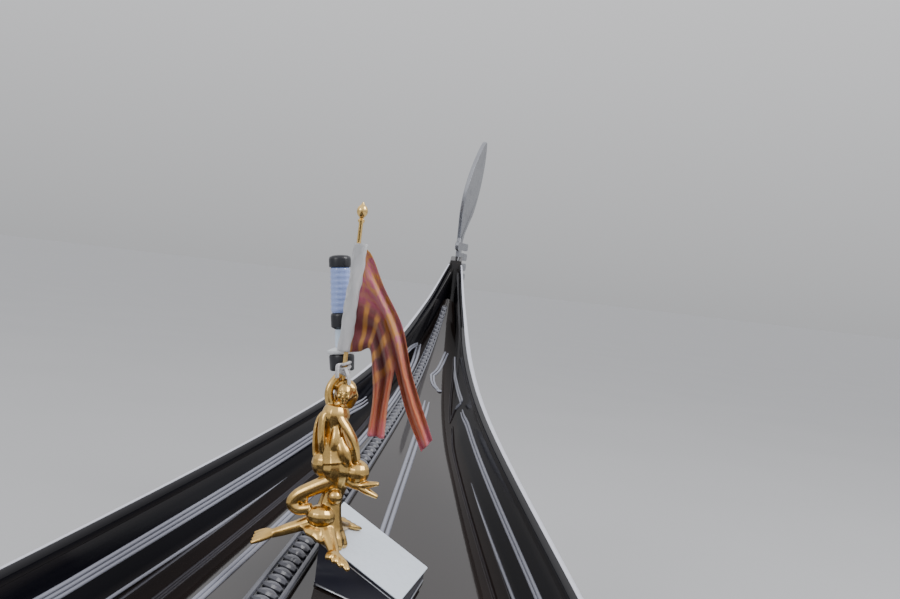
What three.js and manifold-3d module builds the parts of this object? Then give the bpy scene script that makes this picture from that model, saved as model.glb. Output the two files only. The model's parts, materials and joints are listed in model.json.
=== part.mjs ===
// A full-size rowing gondola, in millimetres.
// Frame: +X to the bow, +Y to port, +Z up. The origin is on the flat of the bottom, amidships, midway between
// the widest points of the two sides. The hull is lopsided as the real one is: both end posts stand to
// starboard.
import * as THREE from "three";
import { mergeVertices } from "three/addons/utils/BufferGeometryUtils.js";
import Module from "manifold-3d";

const wasm = await Module();
wasm.setup();

// Driving dimensions of the hull
const BEAM = 1420;
const BIAS = 120; // how far both end posts stand to starboard of the middle of the beam
const POST_HALF = 22; // half the thickness of the stem and the stern post
const PLANK = 18;
const BOTTOM_THICK = 25;
const RAIL_HEIGHT = 22;
const RAIL_PROUD = 8; // the rail overhangs the planks by this much outboard
const RAIL_WIDTH = 50;
const FLAT_HALF = 900; // the bottom is flat this far each way from amidships
const ROCKER = 3.125e-5; // and then rises as this times the square of the distance, 1/mm
const BOTTOM_PORT_HALF = 570;
const BOTTOM_STARBOARD_HALF = 350;
const BOTTOM_BOW = 4700;
const BOTTOM_STERN = -4600;
const BULGE = 14; // roundness of the topsides amidships
const GAP = 0.4; // between pieces that touch
const DECK_THICK = 14;
const FOREDECK_AFT = 2000;
const FOREDECK_BOW = 5150;
const AFTDECK_FORE = -1900;
const AFTDECK_STERN = -5200;
const FLOOR_TOP = 90;
const FLOORBOARD = 15;

// Hull lines: x, sheer breadth as a share of the full half-breadth, bottom breadth as a share, sheer height
const LINES = [
  [-5360, 0.0, 0.0, 1690],
  [-5000, 0.095, 0.0, 1455],
  [-4500, 0.235, 0.075, 1215],
  [-4000, 0.39, 0.26, 1040],
  [-3000, 0.69, 0.62, 805],
  [-2000, 0.9, 0.87, 668],
  [-1000, 0.985, 0.975, 602],
  [0, 1.0, 1.0, 585],
  [1000, 0.985, 0.98, 596],
  [2000, 0.915, 0.89, 630],
  [3000, 0.71, 0.64, 695],
  [4000, 0.335, 0.26, 885],
  [4500, 0.182, 0.085, 1007],
  [5000, 0.072, 0.0, 1184],
  [5300, 0.0, 0.0, 1348],
];
// Lower edge of the planks along each post: x, height
const STEM_EDGE = [
  [4700, 477],
  [4900, 590],
  [5050, 722],
  [5170, 885],
  [5250, 1060],
  [5292, 1230],
];
const STERN_EDGE = [
  [-5352, 1530],
  [-5310, 1310],
  [-5200, 1030],
  [-5040, 780],
  [-4840, 590],
  [-4600, 453],
];
const HULL_STATIONS = [
  -5350, -5310, -5200, -5040, -4840, -4600, -4300, -4000, -3600, -3200, -2800, -2400, -1900, -1400, -900, -450,
  0, 450, 900, 1400, 2000, 2400, 2800, 3200, 3600, 4000, 4350, 4700, 4900, 5050, 5170, 5250, 5291,
];
const LEVELS = [0, 0.35, 0.7, 1]; // heights at which the topsides are sampled

const PORT = 1;
const STARBOARD = -1;

// A smooth curve through the rows of a table, read as a function of the first column.
function curve(table, column = 1) {
  const xs = table.map((row) => row[0]);
  const ys = table.map((row) => row[column]);
  const last = xs.length - 1;
  const slope = (i) => {
    const [before, after] = [Math.max(i - 1, 0), Math.min(i + 1, last)];
    return (ys[after] - ys[before]) / (xs[after] - xs[before]);
  };
  return (x) => {
    const at = Math.min(Math.max(x, xs[0]), xs[last]);
    let i = 0;
    while (i < last - 1 && at > xs[i + 1]) i += 1;
    const h = xs[i + 1] - xs[i];
    const t = (at - xs[i]) / h;
    return (
      ys[i] * (1 + 2 * t) * (1 - t) ** 2 +
      h * slope(i) * t * (1 - t) ** 2 +
      ys[i + 1] * t * t * (3 - 2 * t) +
      h * slope(i + 1) * t * t * (t - 1)
    );
  };
}

// The same curve made straight from station to station, so that every piece meets the faceted planks.
function faceted(smooth) {
  const values = HULL_STATIONS.map(smooth);
  return (x) => {
    let i = 0;
    while (i < HULL_STATIONS.length - 2 && x > HULL_STATIONS[i + 1]) i += 1;
    const t = (x - HULL_STATIONS[i]) / (HULL_STATIONS[i + 1] - HULL_STATIONS[i]);
    return values[i] + (values[i + 1] - values[i]) * t;
  };
}

const sheerShare = faceted(curve(LINES, 1));
const bottomShare = faceted(curve(LINES, 2));
const sheer = faceted(curve(LINES, 3));
const stemEdge = curve(STEM_EDGE);
const sternEdge = curve(STERN_EDGE);
const keel = faceted((x) => ROCKER * Math.max(0, Math.abs(x) - FLAT_HALF) ** 2);
const plankTop = (x) => sheer(x) - RAIL_HEIGHT - GAP;
const lowEdge = faceted((x) => {
  if (x > BOTTOM_BOW) return stemEdge(x);
  if (x < BOTTOM_STERN) return sternEdge(x);
  return keel(x) + BOTTOM_THICK + GAP;
});

// Signed distance of the hull's outer face from y = 0 at the sheer and at the bottom.
function sheerY(side, x) {
  const full = BEAM / 2 + side * BIAS;
  return side * (POST_HALF + (full - POST_HALF) * sheerShare(x)) - BIAS;
}
function bottomY(side, x) {
  const full = side === PORT ? BOTTOM_PORT_HALF : BOTTOM_STARBOARD_HALF;
  return side * (POST_HALF + (full - POST_HALF) * bottomShare(x)) - BIAS;
}
// Outer face of the topsides at a share t of the height between the lower edge and the top of the planks.
function topside(side, x, t) {
  const low = bottomY(side, x);
  const round = side * BULGE * sheerShare(x) * 4 * t * (1 - t);
  return [x, low + (sheerY(side, x) - low) * t + round, lowEdge(x) + (plankTop(x) - lowEdge(x)) * t];
}
// Inner face of the planks at a height, on the straight pieces between the sampled levels.
function innerY(side, x, z) {
  const t = Math.min(Math.max((z - lowEdge(x)) / (plankTop(x) - lowEdge(x)), 0), 1);
  let i = 0;
  while (i < LEVELS.length - 2 && t > LEVELS[i + 1]) i += 1;
  const [a, b] = [topside(side, x, LEVELS[i])[1], topside(side, x, LEVELS[i + 1])[1]];
  return a + ((b - a) * (t - LEVELS[i])) / (LEVELS[i + 1] - LEVELS[i]) - side * PLANK;
}
const stationsBetween = (from, to) => [from, ...HULL_STATIONS.filter((x) => x > from + 1 && x < to - 1), to];

// Skins closed sections, each a loop of [x, y, z] points of the same count, and caps both ends.
function loft(sections) {
  const count = sections[0].length;
  const points = sections.flat();
  const faces = [];
  for (let s = 0; s + 1 < sections.length; s += 1)
    for (let i = 0; i < count; i += 1) {
      const j = (i + 1) % count;
      const [a, b, c, d] = [s * count + i, s * count + j, (s + 1) * count + j, (s + 1) * count + i];
      faces.push([a, b, c], [a, c, d]);
    }
  const capOf = (section, base, flip) => {
    const flat = flatten(section);
    const turned = THREE.ShapeUtils.isClockWise(flat);
    THREE.ShapeUtils.triangulateShape(turned ? [...flat].reverse() : flat, []).forEach((face) => {
      const f = face.map((k) => base + (turned ? count - 1 - k : k));
      if (turned !== flip) f.reverse();
      faces.push(f);
    });
  };
  capOf(sections[0], 0, true);
  capOf(sections[sections.length - 1], (sections.length - 1) * count, false);
  const made = closed(points, faces);
  return volume(made) < 0 ? closed(points, faces.map((f) => [...f].reverse())) : made;
}
// The section's points in the plane that it lies in.
function flatten(section) {
  const p = section.map((q) => new THREE.Vector3(...q));
  const normal = new THREE.Vector3();
  p.forEach((a, i) => normal.add(new THREE.Vector3().crossVectors(a, p[(i + 1) % p.length])));
  normal.normalize();
  const upright = Math.abs(normal.z) > 0.9 ? new THREE.Vector3(1, 0, 0) : new THREE.Vector3(0, 0, 1);
  const u = new THREE.Vector3().crossVectors(upright, normal).normalize();
  const v = new THREE.Vector3().crossVectors(normal, u);
  return p.map((q) => new THREE.Vector2(q.dot(u), q.dot(v)));
}
function closed(points, faces) {
  return new THREE.BufferGeometry()
    .setAttribute("position", new THREE.Float32BufferAttribute(points.flat(), 3))
    .setIndex(faces.flat());
}
function volume(geometry) {
  const p = geometry.attributes.position;
  const [a, b, c] = [0, 1, 2].map(() => new THREE.Vector3());
  let six = 0;
  for (let i = 0; i < geometry.index.count; i += 3) {
    [a, b, c].forEach((v, k) => v.fromBufferAttribute(p, geometry.index.getX(i + k)));
    six += a.dot(new THREE.Vector3().crossVectors(b, c));
  }
  return six / 6;
}

// Joins and cuts
function solid(geometry) {
  const g = geometry.index ? geometry.toNonIndexed() : geometry.clone();
  g.deleteAttribute("normal");
  g.deleteAttribute("uv");
  const merged = mergeVertices(g, 1e-3);
  const vertProperties = merged.attributes.position.array;
  const triVerts = new Uint32Array(merged.index.array);
  return new wasm.Manifold(new wasm.Mesh({ numProp: 3, vertProperties, triVerts }));
}
function fromSolid(made) {
  const m = made.getMesh();
  return new THREE.BufferGeometry()
    .setAttribute("position", new THREE.BufferAttribute(new Float32Array(m.vertProperties), 3))
    .setIndex(new THREE.BufferAttribute(new Uint32Array(m.triVerts), 1));
}
const join = (...parts) => fromSolid(parts.map(solid).reduce((a, b) => a.add(b)));
const cut = (body, ...tools) => fromSolid(tools.map(solid).reduce((a, b) => a.subtract(b), solid(body)));

// A box given by its lowest and highest corners.
function box(low, high) {
  const size = high.map((v, i) => v - low[i]);
  return new THREE.BoxGeometry(...size).translate(...low.map((v, i) => v + size[i] / 2));
}
// A plate whose outline lies in the XZ plane, centred on y and as thick as told.
function sidePlate(outline, y, thick) {
  const shape = new THREE.Shape(outline.map(([x, z]) => new THREE.Vector2(x, z)));
  return new THREE.ExtrudeGeometry(shape, { depth: thick, bevelEnabled: false, curveSegments: 6 })
    .rotateX(Math.PI / 2)
    .translate(0, y + thick / 2, 0);
}
// A plate whose outline lies in the YZ plane, from x forward by its thickness.
function crossPlate(outline, x, thick, holes = []) {
  const shape = new THREE.Shape(outline.map(([y, z]) => new THREE.Vector2(y, z)));
  shape.holes = holes.map((hole) => new THREE.Path(hole.map(([y, z]) => new THREE.Vector2(y, z))));
  const [x1, y1, z1] = [new THREE.Vector3(1, 0, 0), new THREE.Vector3(0, 1, 0), new THREE.Vector3(0, 0, 1)];
  const turn = new THREE.Matrix4().makeBasis(y1, z1, x1);
  return new THREE.ExtrudeGeometry(shape, { depth: thick, bevelEnabled: false, curveSegments: 6 })
    .applyMatrix4(turn)
    .translate(x, 0, 0);
}

// Materials
function paint(color, roughness, metalness = 0) {
  return new THREE.MeshStandardMaterial({ color, roughness, metalness });
}
const MATERIALS = {
  lacquer: paint(0x0b0b10, 0.12),
  deck: paint(0x120d0c, 0.08),
  timber: paint(0x4a2c18, 0.45),
  walnut: paint(0x6a4326, 0.35),
  beech: paint(0xb58a55, 0.5),
  steel: paint(0xb9bcc2, 0.25, 1),
  gilt: paint(0xd9a441, 0.22, 1),
  leather: paint(0x7a1416, 0.45),
  cloth: paint(0xa2301f, 0.85),
  card: paint(0xe8eaee, 0.6),
  lens: paint(0xa8c4f2, 0.3),
};
const boat = new THREE.Group();
function add(name, material, geometry) {
  const mesh = new THREE.Mesh(geometry, MATERIALS[material]);
  mesh.name = name;
  boat.add(mesh);
  return mesh;
}

// Hull shell

function hullBottom(from, to) {
  return loft(
    stationsBetween(from, to).map((x) => [
      [x, bottomY(STARBOARD, x), keel(x)],
      [x, bottomY(PORT, x), keel(x)],
      [x, bottomY(PORT, x), keel(x) + BOTTOM_THICK],
      [x, bottomY(STARBOARD, x), keel(x) + BOTTOM_THICK],
    ]),
  );
}

// The sides and the bottom are made in three lengths end to end: name, from, to
const LENGTHS = [
  ["aft", -5350, -1900],
  ["middle", -1899.6, 2000],
  ["fore", 2000.4, 5291],
];
function hullSide(side, from, to) {
  return loft(
    stationsBetween(from, to).map((x) => {
      const outer = LEVELS.map((t) => topside(side, x, t));
      const inner = [...outer].reverse().map(([px, y, z]) => [px, y - side * PLANK, z]);
      return [...outer, ...inner];
    }),
  );
}

// A post follows the lower edge of the planks and thickens from the bottom's end to its head.
function postFaces({ edge, headX, headTop, startDepth, fullDepth, way }) {
  const inner = edge.map(([x, z]) => [x + way * GAP, z - GAP]);
  const outer = inner.map(([x, z], i) => {
    const before = inner[Math.max(i - 1, 0)];
    const after = inner[Math.min(i + 1, inner.length - 1)];
    const run = new THREE.Vector2(after[0] - before[0], after[1] - before[1]).normalize();
    const depth = startDepth + ((fullDepth - startDepth) * i) / (inner.length - 1);
    return [x + way * Math.abs(run.y) * depth, z - Math.abs(run.x) * depth];
  });
  outer[0] = [inner[0][0], inner[0][1] - startDepth];
  inner.push([headX + way * GAP, headTop]);
  outer.push([headX + way * fullDepth, headTop + 18]);
  return { inner, outer };
}
function endPost(form) {
  const { inner, outer } = postFaces(form);
  return sidePlate([...inner, ...outer.reverse()], -BIAS, 2 * POST_HALF);
}
const STEM = { edge: STEM_EDGE, headX: 5292, headTop: 1352, startDepth: 25, fullDepth: 52, way: 1 };
const STERN = {
  edge: [...STERN_EDGE].reverse(),
  headX: -5352,
  headTop: 1698,
  startDepth: 25,
  fullDepth: 48,
  way: -1,
};

function rail(side) {
  return loft(
    HULL_STATIONS.map((x) => {
      const share = Math.min(1, 0.45 + 4 * sheerShare(x)); // it narrows to nothing much at the posts
      const y = sheerY(side, x);
      const z = sheer(x) - RAIL_HEIGHT;
      const out = y + side * RAIL_PROUD * share;
      const wide = Math.min(RAIL_WIDTH * share, Math.abs(y + BIAS) + RAIL_PROUD * share - GAP);
      return [
        [x, out, z],
        [x, out, z + RAIL_HEIGHT - 6],
        [x, out - side * 6 * share, z + RAIL_HEIGHT],
        [x, out - side * (wide - 6), z + RAIL_HEIGHT - 3],
        [x, out - side * wide, z + RAIL_HEIGHT - 8],
        [x, out - side * wide, z],
      ];
    }),
  );
}

for (const [name, from, to] of LENGTHS) {
  add(`hull_bottom_${name}`, "lacquer", hullBottom(Math.max(from, BOTTOM_STERN), Math.min(to, BOTTOM_BOW)));
  add(`hull_side_port_${name}`, "lacquer", hullSide(PORT, from, to));
  add(`hull_side_starboard_${name}`, "lacquer", hullSide(STARBOARD, from, to));
}
add("stem_post", "lacquer", endPost(STEM));
add("stern_post", "lacquer", endPost(STERN));
add("gunwale_rail_port", "lacquer", rail(PORT));
add("gunwale_rail_starboard", "lacquer", rail(STARBOARD));

// Decks. The crest is where the highest line runs, as a share of the half width to port of the middle.
// Rows: x, depth of the deck's edge under the sheer, height of the crown over the edge
const FOREDECK_FORM = {
  crest: 0.2,
  rows: [
    [2000, 158, 108],
    [3000, 146, 98],
    [4000, 116, 68],
    [4700, 90, 36],
    [5150, 72, 14],
  ],
};
const AFTDECK_FORM = {
  crest: 0,
  rows: [
    [-5200, 62, 4],
    [-4000, 82, 18],
    [-3000, 92, 26],
    [-1900, 108, 30],
  ],
};
const ACROSS = [-1, -0.75, -0.5, -0.25, 0, 0.25, 0.5, 0.75, 1]; // from the starboard edge to the port edge

const edgeHeight = (form, x) => sheer(x) - curve(form.rows, 1)(x);
const crownHeight = (form, x, u) => edgeHeight(form, x) + curve(form.rows, 2)(x) * (1 - Math.abs(u) ** 1.7);
const shareAcross = (form, u) => form.crest + u * (1 - Math.sign(u) * form.crest);
function deckPoint(form, x, u, drop) {
  const edge = edgeHeight(form, x) - drop;
  const [port, starboard] = [innerY(PORT, x, edge) - 3, innerY(STARBOARD, x, edge) + 3];
  const y = (port + starboard) / 2 + (shareAcross(form, u) * (port - starboard)) / 2;
  return [x, y, crownHeight(form, x, u) - drop];
}
function deck(form, from, to) {
  return loft(
    stationsBetween(from, to).map((x) => [
      ...ACROSS.map((u) => deckPoint(form, x, u, 0)),
      ...[...ACROSS].reverse().map((u) => deckPoint(form, x, u, DECK_THICK)),
    ]),
  );
}
add("foredeck", "deck", deck(FOREDECK_FORM, FOREDECK_AFT, FOREDECK_BOW));
add("aft_deck", "deck", deck(AFTDECK_FORM, AFTDECK_STERN, AFTDECK_FORE));

// The carved batten along the foredeck's crest narrows towards the bow: x, half width, height
const RIDGE_FORM = [
  [2004, 40, 20],
  [3000, 36, 20],
  [4000, 22, 16],
  [5100, 9, 10],
];
function ridgeBatten() {
  return loft(
    stationsBetween(2004, 5100).map((x) => {
      const [, y, z] = deckPoint(FOREDECK_FORM, x, 0, 0);
      const [half, high] = [curve(RIDGE_FORM, 1)(x), curve(RIDGE_FORM, 2)(x)];
      return [
        [x, y - half, z + 1.5],
        [x, y + half, z + 1.5],
        [x, y + half * 0.8, z + high * 0.8],
        [x, y, z + high],
        [x, y - half * 0.8, z + high * 0.8],
      ];
    }),
  );
}
add("foredeck_ridge", "deck", ridgeBatten());

// Bulkheads close the two ends of the cockpit under the deck edges.
const BULKHEAD = 18;
const WALL_CLEAR = 2.5; // between cross pieces and the planks
const rectangle = (y0, z0, y1, z1) => [[y0, z0], [y1, z0], [y1, z1], [y0, z1]];
const AFT_HATCH = rectangle(-220, 125, 200, 404);
const DOOR = { x: FOREDECK_AFT + 4, y0: -215, y1: 205, z0: 125, z1: 382, thick: 16, clear: 5 };

function bulkheadOutline(form, x, xs) {
  const edge = Math.min(...xs.map((at) => edgeHeight(form, at))) - DECK_THICK - 4;
  const inside = (side, z) =>
    side * Math.min(...xs.map((at) => side * innerY(side, at, z))) - side * WALL_CLEAR;
  const foot = Math.max(...xs.map((at) => keel(at))) + BOTTOM_THICK + 1;
  const heights = [foot, foot + (edge - foot) * 0.4, foot + (edge - foot) * 0.75, edge];
  const half = (inside(PORT, edge) - inside(STARBOARD, edge)) / 2;
  const middle = (inside(PORT, edge) + inside(STARBOARD, edge)) / 2;
  const crown = ACROSS.slice(1, -1).map((u) => {
    const top = Math.min(...xs.map((at) => crownHeight(form, at, u))) - DECK_THICK - 4;
    return [middle + shareAcross(form, u) * half, top];
  });
  const wall = (side) => heights.map((z) => [inside(side, z), z]);
  return [...wall(STARBOARD), ...crown, ...wall(PORT).reverse()];
}
function bulkhead(form, x, holes) {
  return crossPlate(bulkheadOutline(form, x, [x, x + BULKHEAD]), x, BULKHEAD, holes);
}
const DOORWAY = rectangle(DOOR.y0, DOOR.z0, DOOR.y1, DOOR.z1);
add("foredeck_bulkhead", "deck", bulkhead(FOREDECK_FORM, FOREDECK_AFT + 2, [DOORWAY]));
add("aft_bulkhead", "deck", bulkhead(AFTDECK_FORM, AFTDECK_FORE - BULKHEAD - 2, [AFT_HATCH]));

// The locker door under the foredeck hangs on its port edge and opens aft, into the cockpit.
function lockerDoor() {
  const panel = box(
    [DOOR.x - 8, DOOR.y0 + DOOR.clear, DOOR.z0 + DOOR.clear],
    [DOOR.x - 8 + DOOR.thick, DOOR.y1 - DOOR.clear, DOOR.z1 - DOOR.clear],
  );
  const knob = new THREE.CylinderGeometry(11, 8, 26, 12)
    .rotateZ(Math.PI / 2)
    .translate(DOOR.x - 18, DOOR.y0 + 45, (DOOR.z0 + DOOR.z1) / 2);
  return join(panel, knob);
}
add("foredeck_door", "deck", lockerDoor());

// Cross beams along the open edges of the decks
function crossBeam(form, x, wide, thick) {
  const ends = [x, x + wide];
  const z = Math.min(...ends.map((at) => edgeHeight(form, at))) - DECK_THICK - 6;
  const inside = (side, height) =>
    side * Math.min(...ends.map((at) => side * innerY(side, at, height))) - side * WALL_CLEAR;
  const half = (inside(PORT, z) - inside(STARBOARD, z)) / 2;
  const middle = (inside(PORT, z) + inside(STARBOARD, z)) / 2;
  const top = ACROSS.map((u) => {
    const crown = Math.min(...ends.map((at) => crownHeight(form, at, u)));
    return [middle + shareAcross(form, u) * half, crown - 2];
  });
  const under = [[inside(PORT, z - thick), z - thick], [inside(STARBOARD, z - thick), z - thick]];
  return crossPlate([...top, ...under], x, wide);
}
add("thwart_fore", "deck", crossBeam(FOREDECK_FORM, FOREDECK_AFT - 62, 60, 60));
add("thwart_aft", "deck", crossBeam(AFTDECK_FORM, AFTDECK_FORE + 2, 60, 60));

// Frames: ribs up the inside of the planks, joined by a stringer
const RIB_STATIONS = [-1650, -1300, -900, -450, 0, 450, 900, 1300, 1650];
const RIB = { wide: 34, deep: 24 };
const STRINGER = { z: 430, high: 45, deep: 20 };

function ribs(side) {
  const inset = (x, z, deep) => [x, innerY(side, x, z) - side * (2 + deep), z];
  const made = RIB_STATIONS.map((x) => {
    const top = Math.min(plankTop(x), plankTop(x + RIB.wide)) - 30;
    const bends = LEVELS.slice(1, -1).map((t) => lowEdge(x) + (plankTop(x) - lowEdge(x)) * t);
    const heights = [FLOOR_TOP + 6, ...bends, top];
    return loft(
      [x - RIB.wide / 2, x + RIB.wide / 2].map((at) => [
        ...heights.map((z) => inset(at, z, 0)),
        ...[...heights].reverse().map((z) => inset(at, z, RIB.deep)),
      ]),
    );
  });
  const stringer = loft(
    stationsBetween(-1800, 1850).map((x) => [
      inset(x, STRINGER.z, 1),
      inset(x, STRINGER.z + STRINGER.high, 1),
      inset(x, STRINGER.z + STRINGER.high, STRINGER.deep),
      inset(x, STRINGER.z, STRINGER.deep),
    ]),
  );
  return join(stringer, ...made);
}
add("frames_port", "timber", ribs(PORT));
add("frames_starboard", "timber", ribs(STARBOARD));

// Floor timbers: cross bearers on the bottom, tied by two runners, and the boards on top
const TIMBER_TOP = FLOOR_TOP - FLOORBOARD - GAP;
const BEARER_STATIONS = [-1750, -1250, -750, -250, 250, 750, 1250, 1750];
const RUNNERS = [-260, 240];

function floorTimbers() {
  const foot = (x) => keel(x) + BOTTOM_THICK + GAP;
  const bearers = BEARER_STATIONS.map((x) => {
    const z = Math.max(foot(x - 20), foot(x + 20));
    return box([x - 20, bottomY(STARBOARD, x) + 45, z], [x + 20, bottomY(PORT, x) - 45, TIMBER_TOP]);
  });
  const runners = RUNNERS.map((y) => box([-1770, y - 18, foot(1770)], [1770, y + 18, TIMBER_TOP]));
  return join(...bearers, ...runners);
}
add("floor_timbers", "timber", floorTimbers());

function floorboards(from, to) {
  const z = FLOOR_TOP - FLOORBOARD;
  return loft(
    stationsBetween(from, to).map((x) => [
      [x, innerY(STARBOARD, x, z) + 6, z],
      [x, innerY(PORT, x, z) - 6, z],
      [x, innerY(PORT, x, z) - 6, FLOOR_TOP],
      [x, innerY(STARBOARD, x, z) + 6, FLOOR_TOP],
    ]),
  );
}
add("floorboards_fore", "timber", floorboards(302, 1930));
add("floorboards_aft", "timber", floorboards(-1830, 298));

// Passenger seats
const SEAT_Y = 0;
const MAIN_SEAT = { x0: -1330, x1: -830, half: 520, inset: 145, top: 350, panel: 20 };

function mainSeatBase() {
  const { x0, x1, half, top, panel } = MAIN_SEAT;
  const side = half - MAIN_SEAT.inset;
  const foot = FLOOR_TOP + GAP;
  return join(
    box([x0, SEAT_Y - half, top - panel], [x1, SEAT_Y + half, top]),
    box([x1 - panel, SEAT_Y - side, foot], [x1, SEAT_Y + side, top - 5]),
    box([x0, SEAT_Y - side, foot], [x1 - 5, SEAT_Y - side + panel, top - 5]),
    box([x0, SEAT_Y + side - panel, foot], [x1 - 5, SEAT_Y + side, top - 5]),
  );
}
// The backrest is a shaped board with an arched and scrolled top, raked aft.
const BACK = { half: 540, low: 352, shoulder: 690, top: 985, thick: 30, rake: THREE.MathUtils.degToRad(9) };
function seatBack() {
  const side = [
    [BACK.half - 60, BACK.low], [BACK.half - 10, 560], [BACK.half, BACK.shoulder], [BACK.half - 45, 745],
    [BACK.half - 150, 770], [260, 840], [170, 930], [80, 975], [0, BACK.top],
  ];
  const outline = [...side, ...side.slice(0, -1).reverse().map(([y, z]) => [-y, z])];
  return crossPlate(outline, 0, BACK.thick)
    .translate(0, SEAT_Y, -BACK.low)
    .rotateY(-BACK.rake)
    .translate(MAIN_SEAT.x0 + 30, 0, BACK.low + 6);
}
// A plain block with rounded corners stands for each cushion.
function cushion(long, wide, thick, corner = 40) {
  const [a, b] = [long / 2, wide / 2];
  const shape = new THREE.Shape()
    .moveTo(-a + corner, -b)
    .lineTo(a - corner, -b)
    .quadraticCurveTo(a, -b, a, -b + corner)
    .lineTo(a, b - corner)
    .quadraticCurveTo(a, b, a - corner, b)
    .lineTo(-a + corner, b)
    .quadraticCurveTo(-a, b, -a, b - corner)
    .lineTo(-a, -b + corner)
    .quadraticCurveTo(-a, -b, -a + corner, -b);
  return new THREE.ExtrudeGeometry(shape, { depth: thick, bevelEnabled: false, curveSegments: 3 });
}
add("main_seat_base", "deck", mainSeatBase());
add("main_seat_back", "deck", seatBack());
add("main_seat_cushion", "leather", cushion(420, 960, 95).translate(-1050, SEAT_Y, MAIN_SEAT.top + GAP));
add(
  "main_back_cushion",
  "leather",
  cushion(330, 900, 80)
    .rotateY(-Math.PI / 2)
    .translate(0, 0, 165)
    .rotateY(-BACK.rake)
    .translate(MAIN_SEAT.x0 + 30 + BACK.thick + 84, SEAT_Y, 462),
);

// Side chairs: small low chairs with a curved back, one each side, facing each other
const CHAIR = { x: 1020, port: 285, starboard: -310, seat: 330, half: 200, depth: 130, leg: 30 };
function sideChair(middle, side) {
  const { x, seat, half, depth, leg } = CHAIR;
  const foot = FLOOR_TOP + GAP;
  const legs = [-1, 1].flatMap((i) =>
    [-1, 1].map((j) => {
      const [at, aside] = [x + i * (half - leg), middle + j * (depth - leg)];
      return box([at - leg / 2, aside - leg / 2, foot], [at + leg / 2, aside + leg / 2, seat]);
    }),
  );
  const board = box([x - half, middle - depth, seat - 22], [x + half, middle + depth, seat]);
  const arc = Array.from({ length: 9 }, (_, i) => ((i - 4) / 4) * 1.15);
  const ring = (r, z) =>
    arc.map((a) => [x + Math.sin(a) * (r + 8), middle + side * (Math.cos(a) * r - 60), z(a)]);
  const low = () => seat - 10;
  const high = (a) => seat + 250 - 110 * Math.abs(a / 1.15) ** 1.5;
  const [outer, inner] = [half + 2, half - 20];
  const corners = [ring(outer, low), ring(outer, high), ring(inner, high), ring(inner, low)];
  const sections = arc.map((a, i) => corners.map((line) => line[i]));
  return join(board, ...legs, loft(sections));
}
const CHAIR_PLACES = [
  ["port", CHAIR.port, PORT],
  ["starboard", CHAIR.starboard, STARBOARD],
];
for (const [name, middle, side] of CHAIR_PLACES) {
  add(`side_chair_${name}`, "deck", sideChair(middle, side));
  const pad = cushion(300, 220, 60, 80).translate(CHAIR.x, middle - side * 30, CHAIR.seat + GAP);
  add(`side_chair_cushion_${name}`, "leather", pad);
}

// Gilt sea-horses on the rails beside the main seat
function seahorse(side) {
  const outline = [
    [0, 0], [90, 0], [96, 14], [70, 34], [82, 62], [84, 95], [66, 122], [72, 140], [98, 138], [104, 152],
    [84, 176], [58, 184], [48, 200], [36, 180], [20, 150], [12, 118], [24, 80], [14, 50], [-22, 46],
    [-40, 66], [-58, 58], [-52, 30], [-28, 12],
  ];
  const x = -560;
  const y = sheerY(side, x) - side * 22;
  return sidePlate(outline.map(([dx, dz]) => [x + dx, sheer(x + 40) + 1.5 + dz]), y, 30);
}
add("seahorse_port", "gilt", seahorse(PORT));
add("seahorse_starboard", "gilt", seahorse(STARBOARD));

// The rower's place: a level board on the aft deck, a foot block, the rowlock post and the oar
const PLATFORM = { aft: -2950, fore: -2120, half: 260, above: 16 };
function rowingPlatform() {
  const ridge = (x) => deckPoint(AFTDECK_FORM, x, 0, 0);
  const { aft, fore, half, above } = PLATFORM;
  const topAt = (x) => {
    const share = (x - aft) / (fore - aft);
    return (ridge(aft)[2] + above) * (1 - share) + (ridge(fore)[2] + above) * share;
  };
  return loft(
    stationsBetween(aft, fore).map((x) => {
      const y = ridge(x)[1];
      const width = deckPoint(AFTDECK_FORM, x, 1, 0)[1] - y;
      const under = [-1, -0.5, 0, 0.5, 1].map((s) => {
        const across = (s * half) / width;
        return [x, y + s * half, Math.max(deckPoint(AFTDECK_FORM, x, across, 0)[2], topAt(x) - 60) + 1.5];
      });
      return [...under, [x, y + half, topAt(x)], [x, y - half, topAt(x)]];
    }),
  );
}
add("rowing_platform", "timber", rowingPlatform());

const OAR_PIVOT = [-2440, -640, 1150];
// The rowlock stands in the starboard rail: a curved post, a head under the loom and a horn outboard of it.
const ROWLOCK_INBOARD = 82; // its foot stands this far inboard of the sheer
function forcola() {
  const [px, py, pz] = OAR_PIVOT;
  const z = sheer(px);
  const foot = sheerY(STARBOARD, px) + ROWLOCK_INBOARD;
  const turns = Array.from({ length: 12 }, (_, i) => (i * Math.PI) / 6);
  const oval = (x, y, height, a, b) => turns.map((t) => [x + a * Math.cos(t), y + b * Math.sin(t), height]);
  const post = loft([
    oval(px - 6, foot, z - 60, 52, 17),
    oval(px - 6, foot, z + 6, 54, 18),
    oval(px + 8, foot - 20, z + 120, 62, 24),
    oval(px + 20, foot - 60, z + 240, 60, 26),
    oval(px + 10, py + 6, pz - 120, 50, 30),
    oval(px, py - 4, pz - 58, 40, 30),
  ]);
  const horn = loft([
    oval(px + 24, py - 36, pz - 122, 24, 16),
    oval(px + 22, py - 54, pz - 66, 20, 17),
    oval(px + 20, py - 58, pz + 20, 17, 15),
    oval(px + 18, py - 57, pz + 62, 12, 11),
  ]);
  const knee = loft([
    oval(px - 70, foot, z + 20, 14, 12),
    oval(px - 62, foot - 12, z + 120, 22, 16),
    oval(px - 30, foot - 44, z + 210, 40, 20),
  ]);
  return join(post, horn, knee);
}
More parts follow.
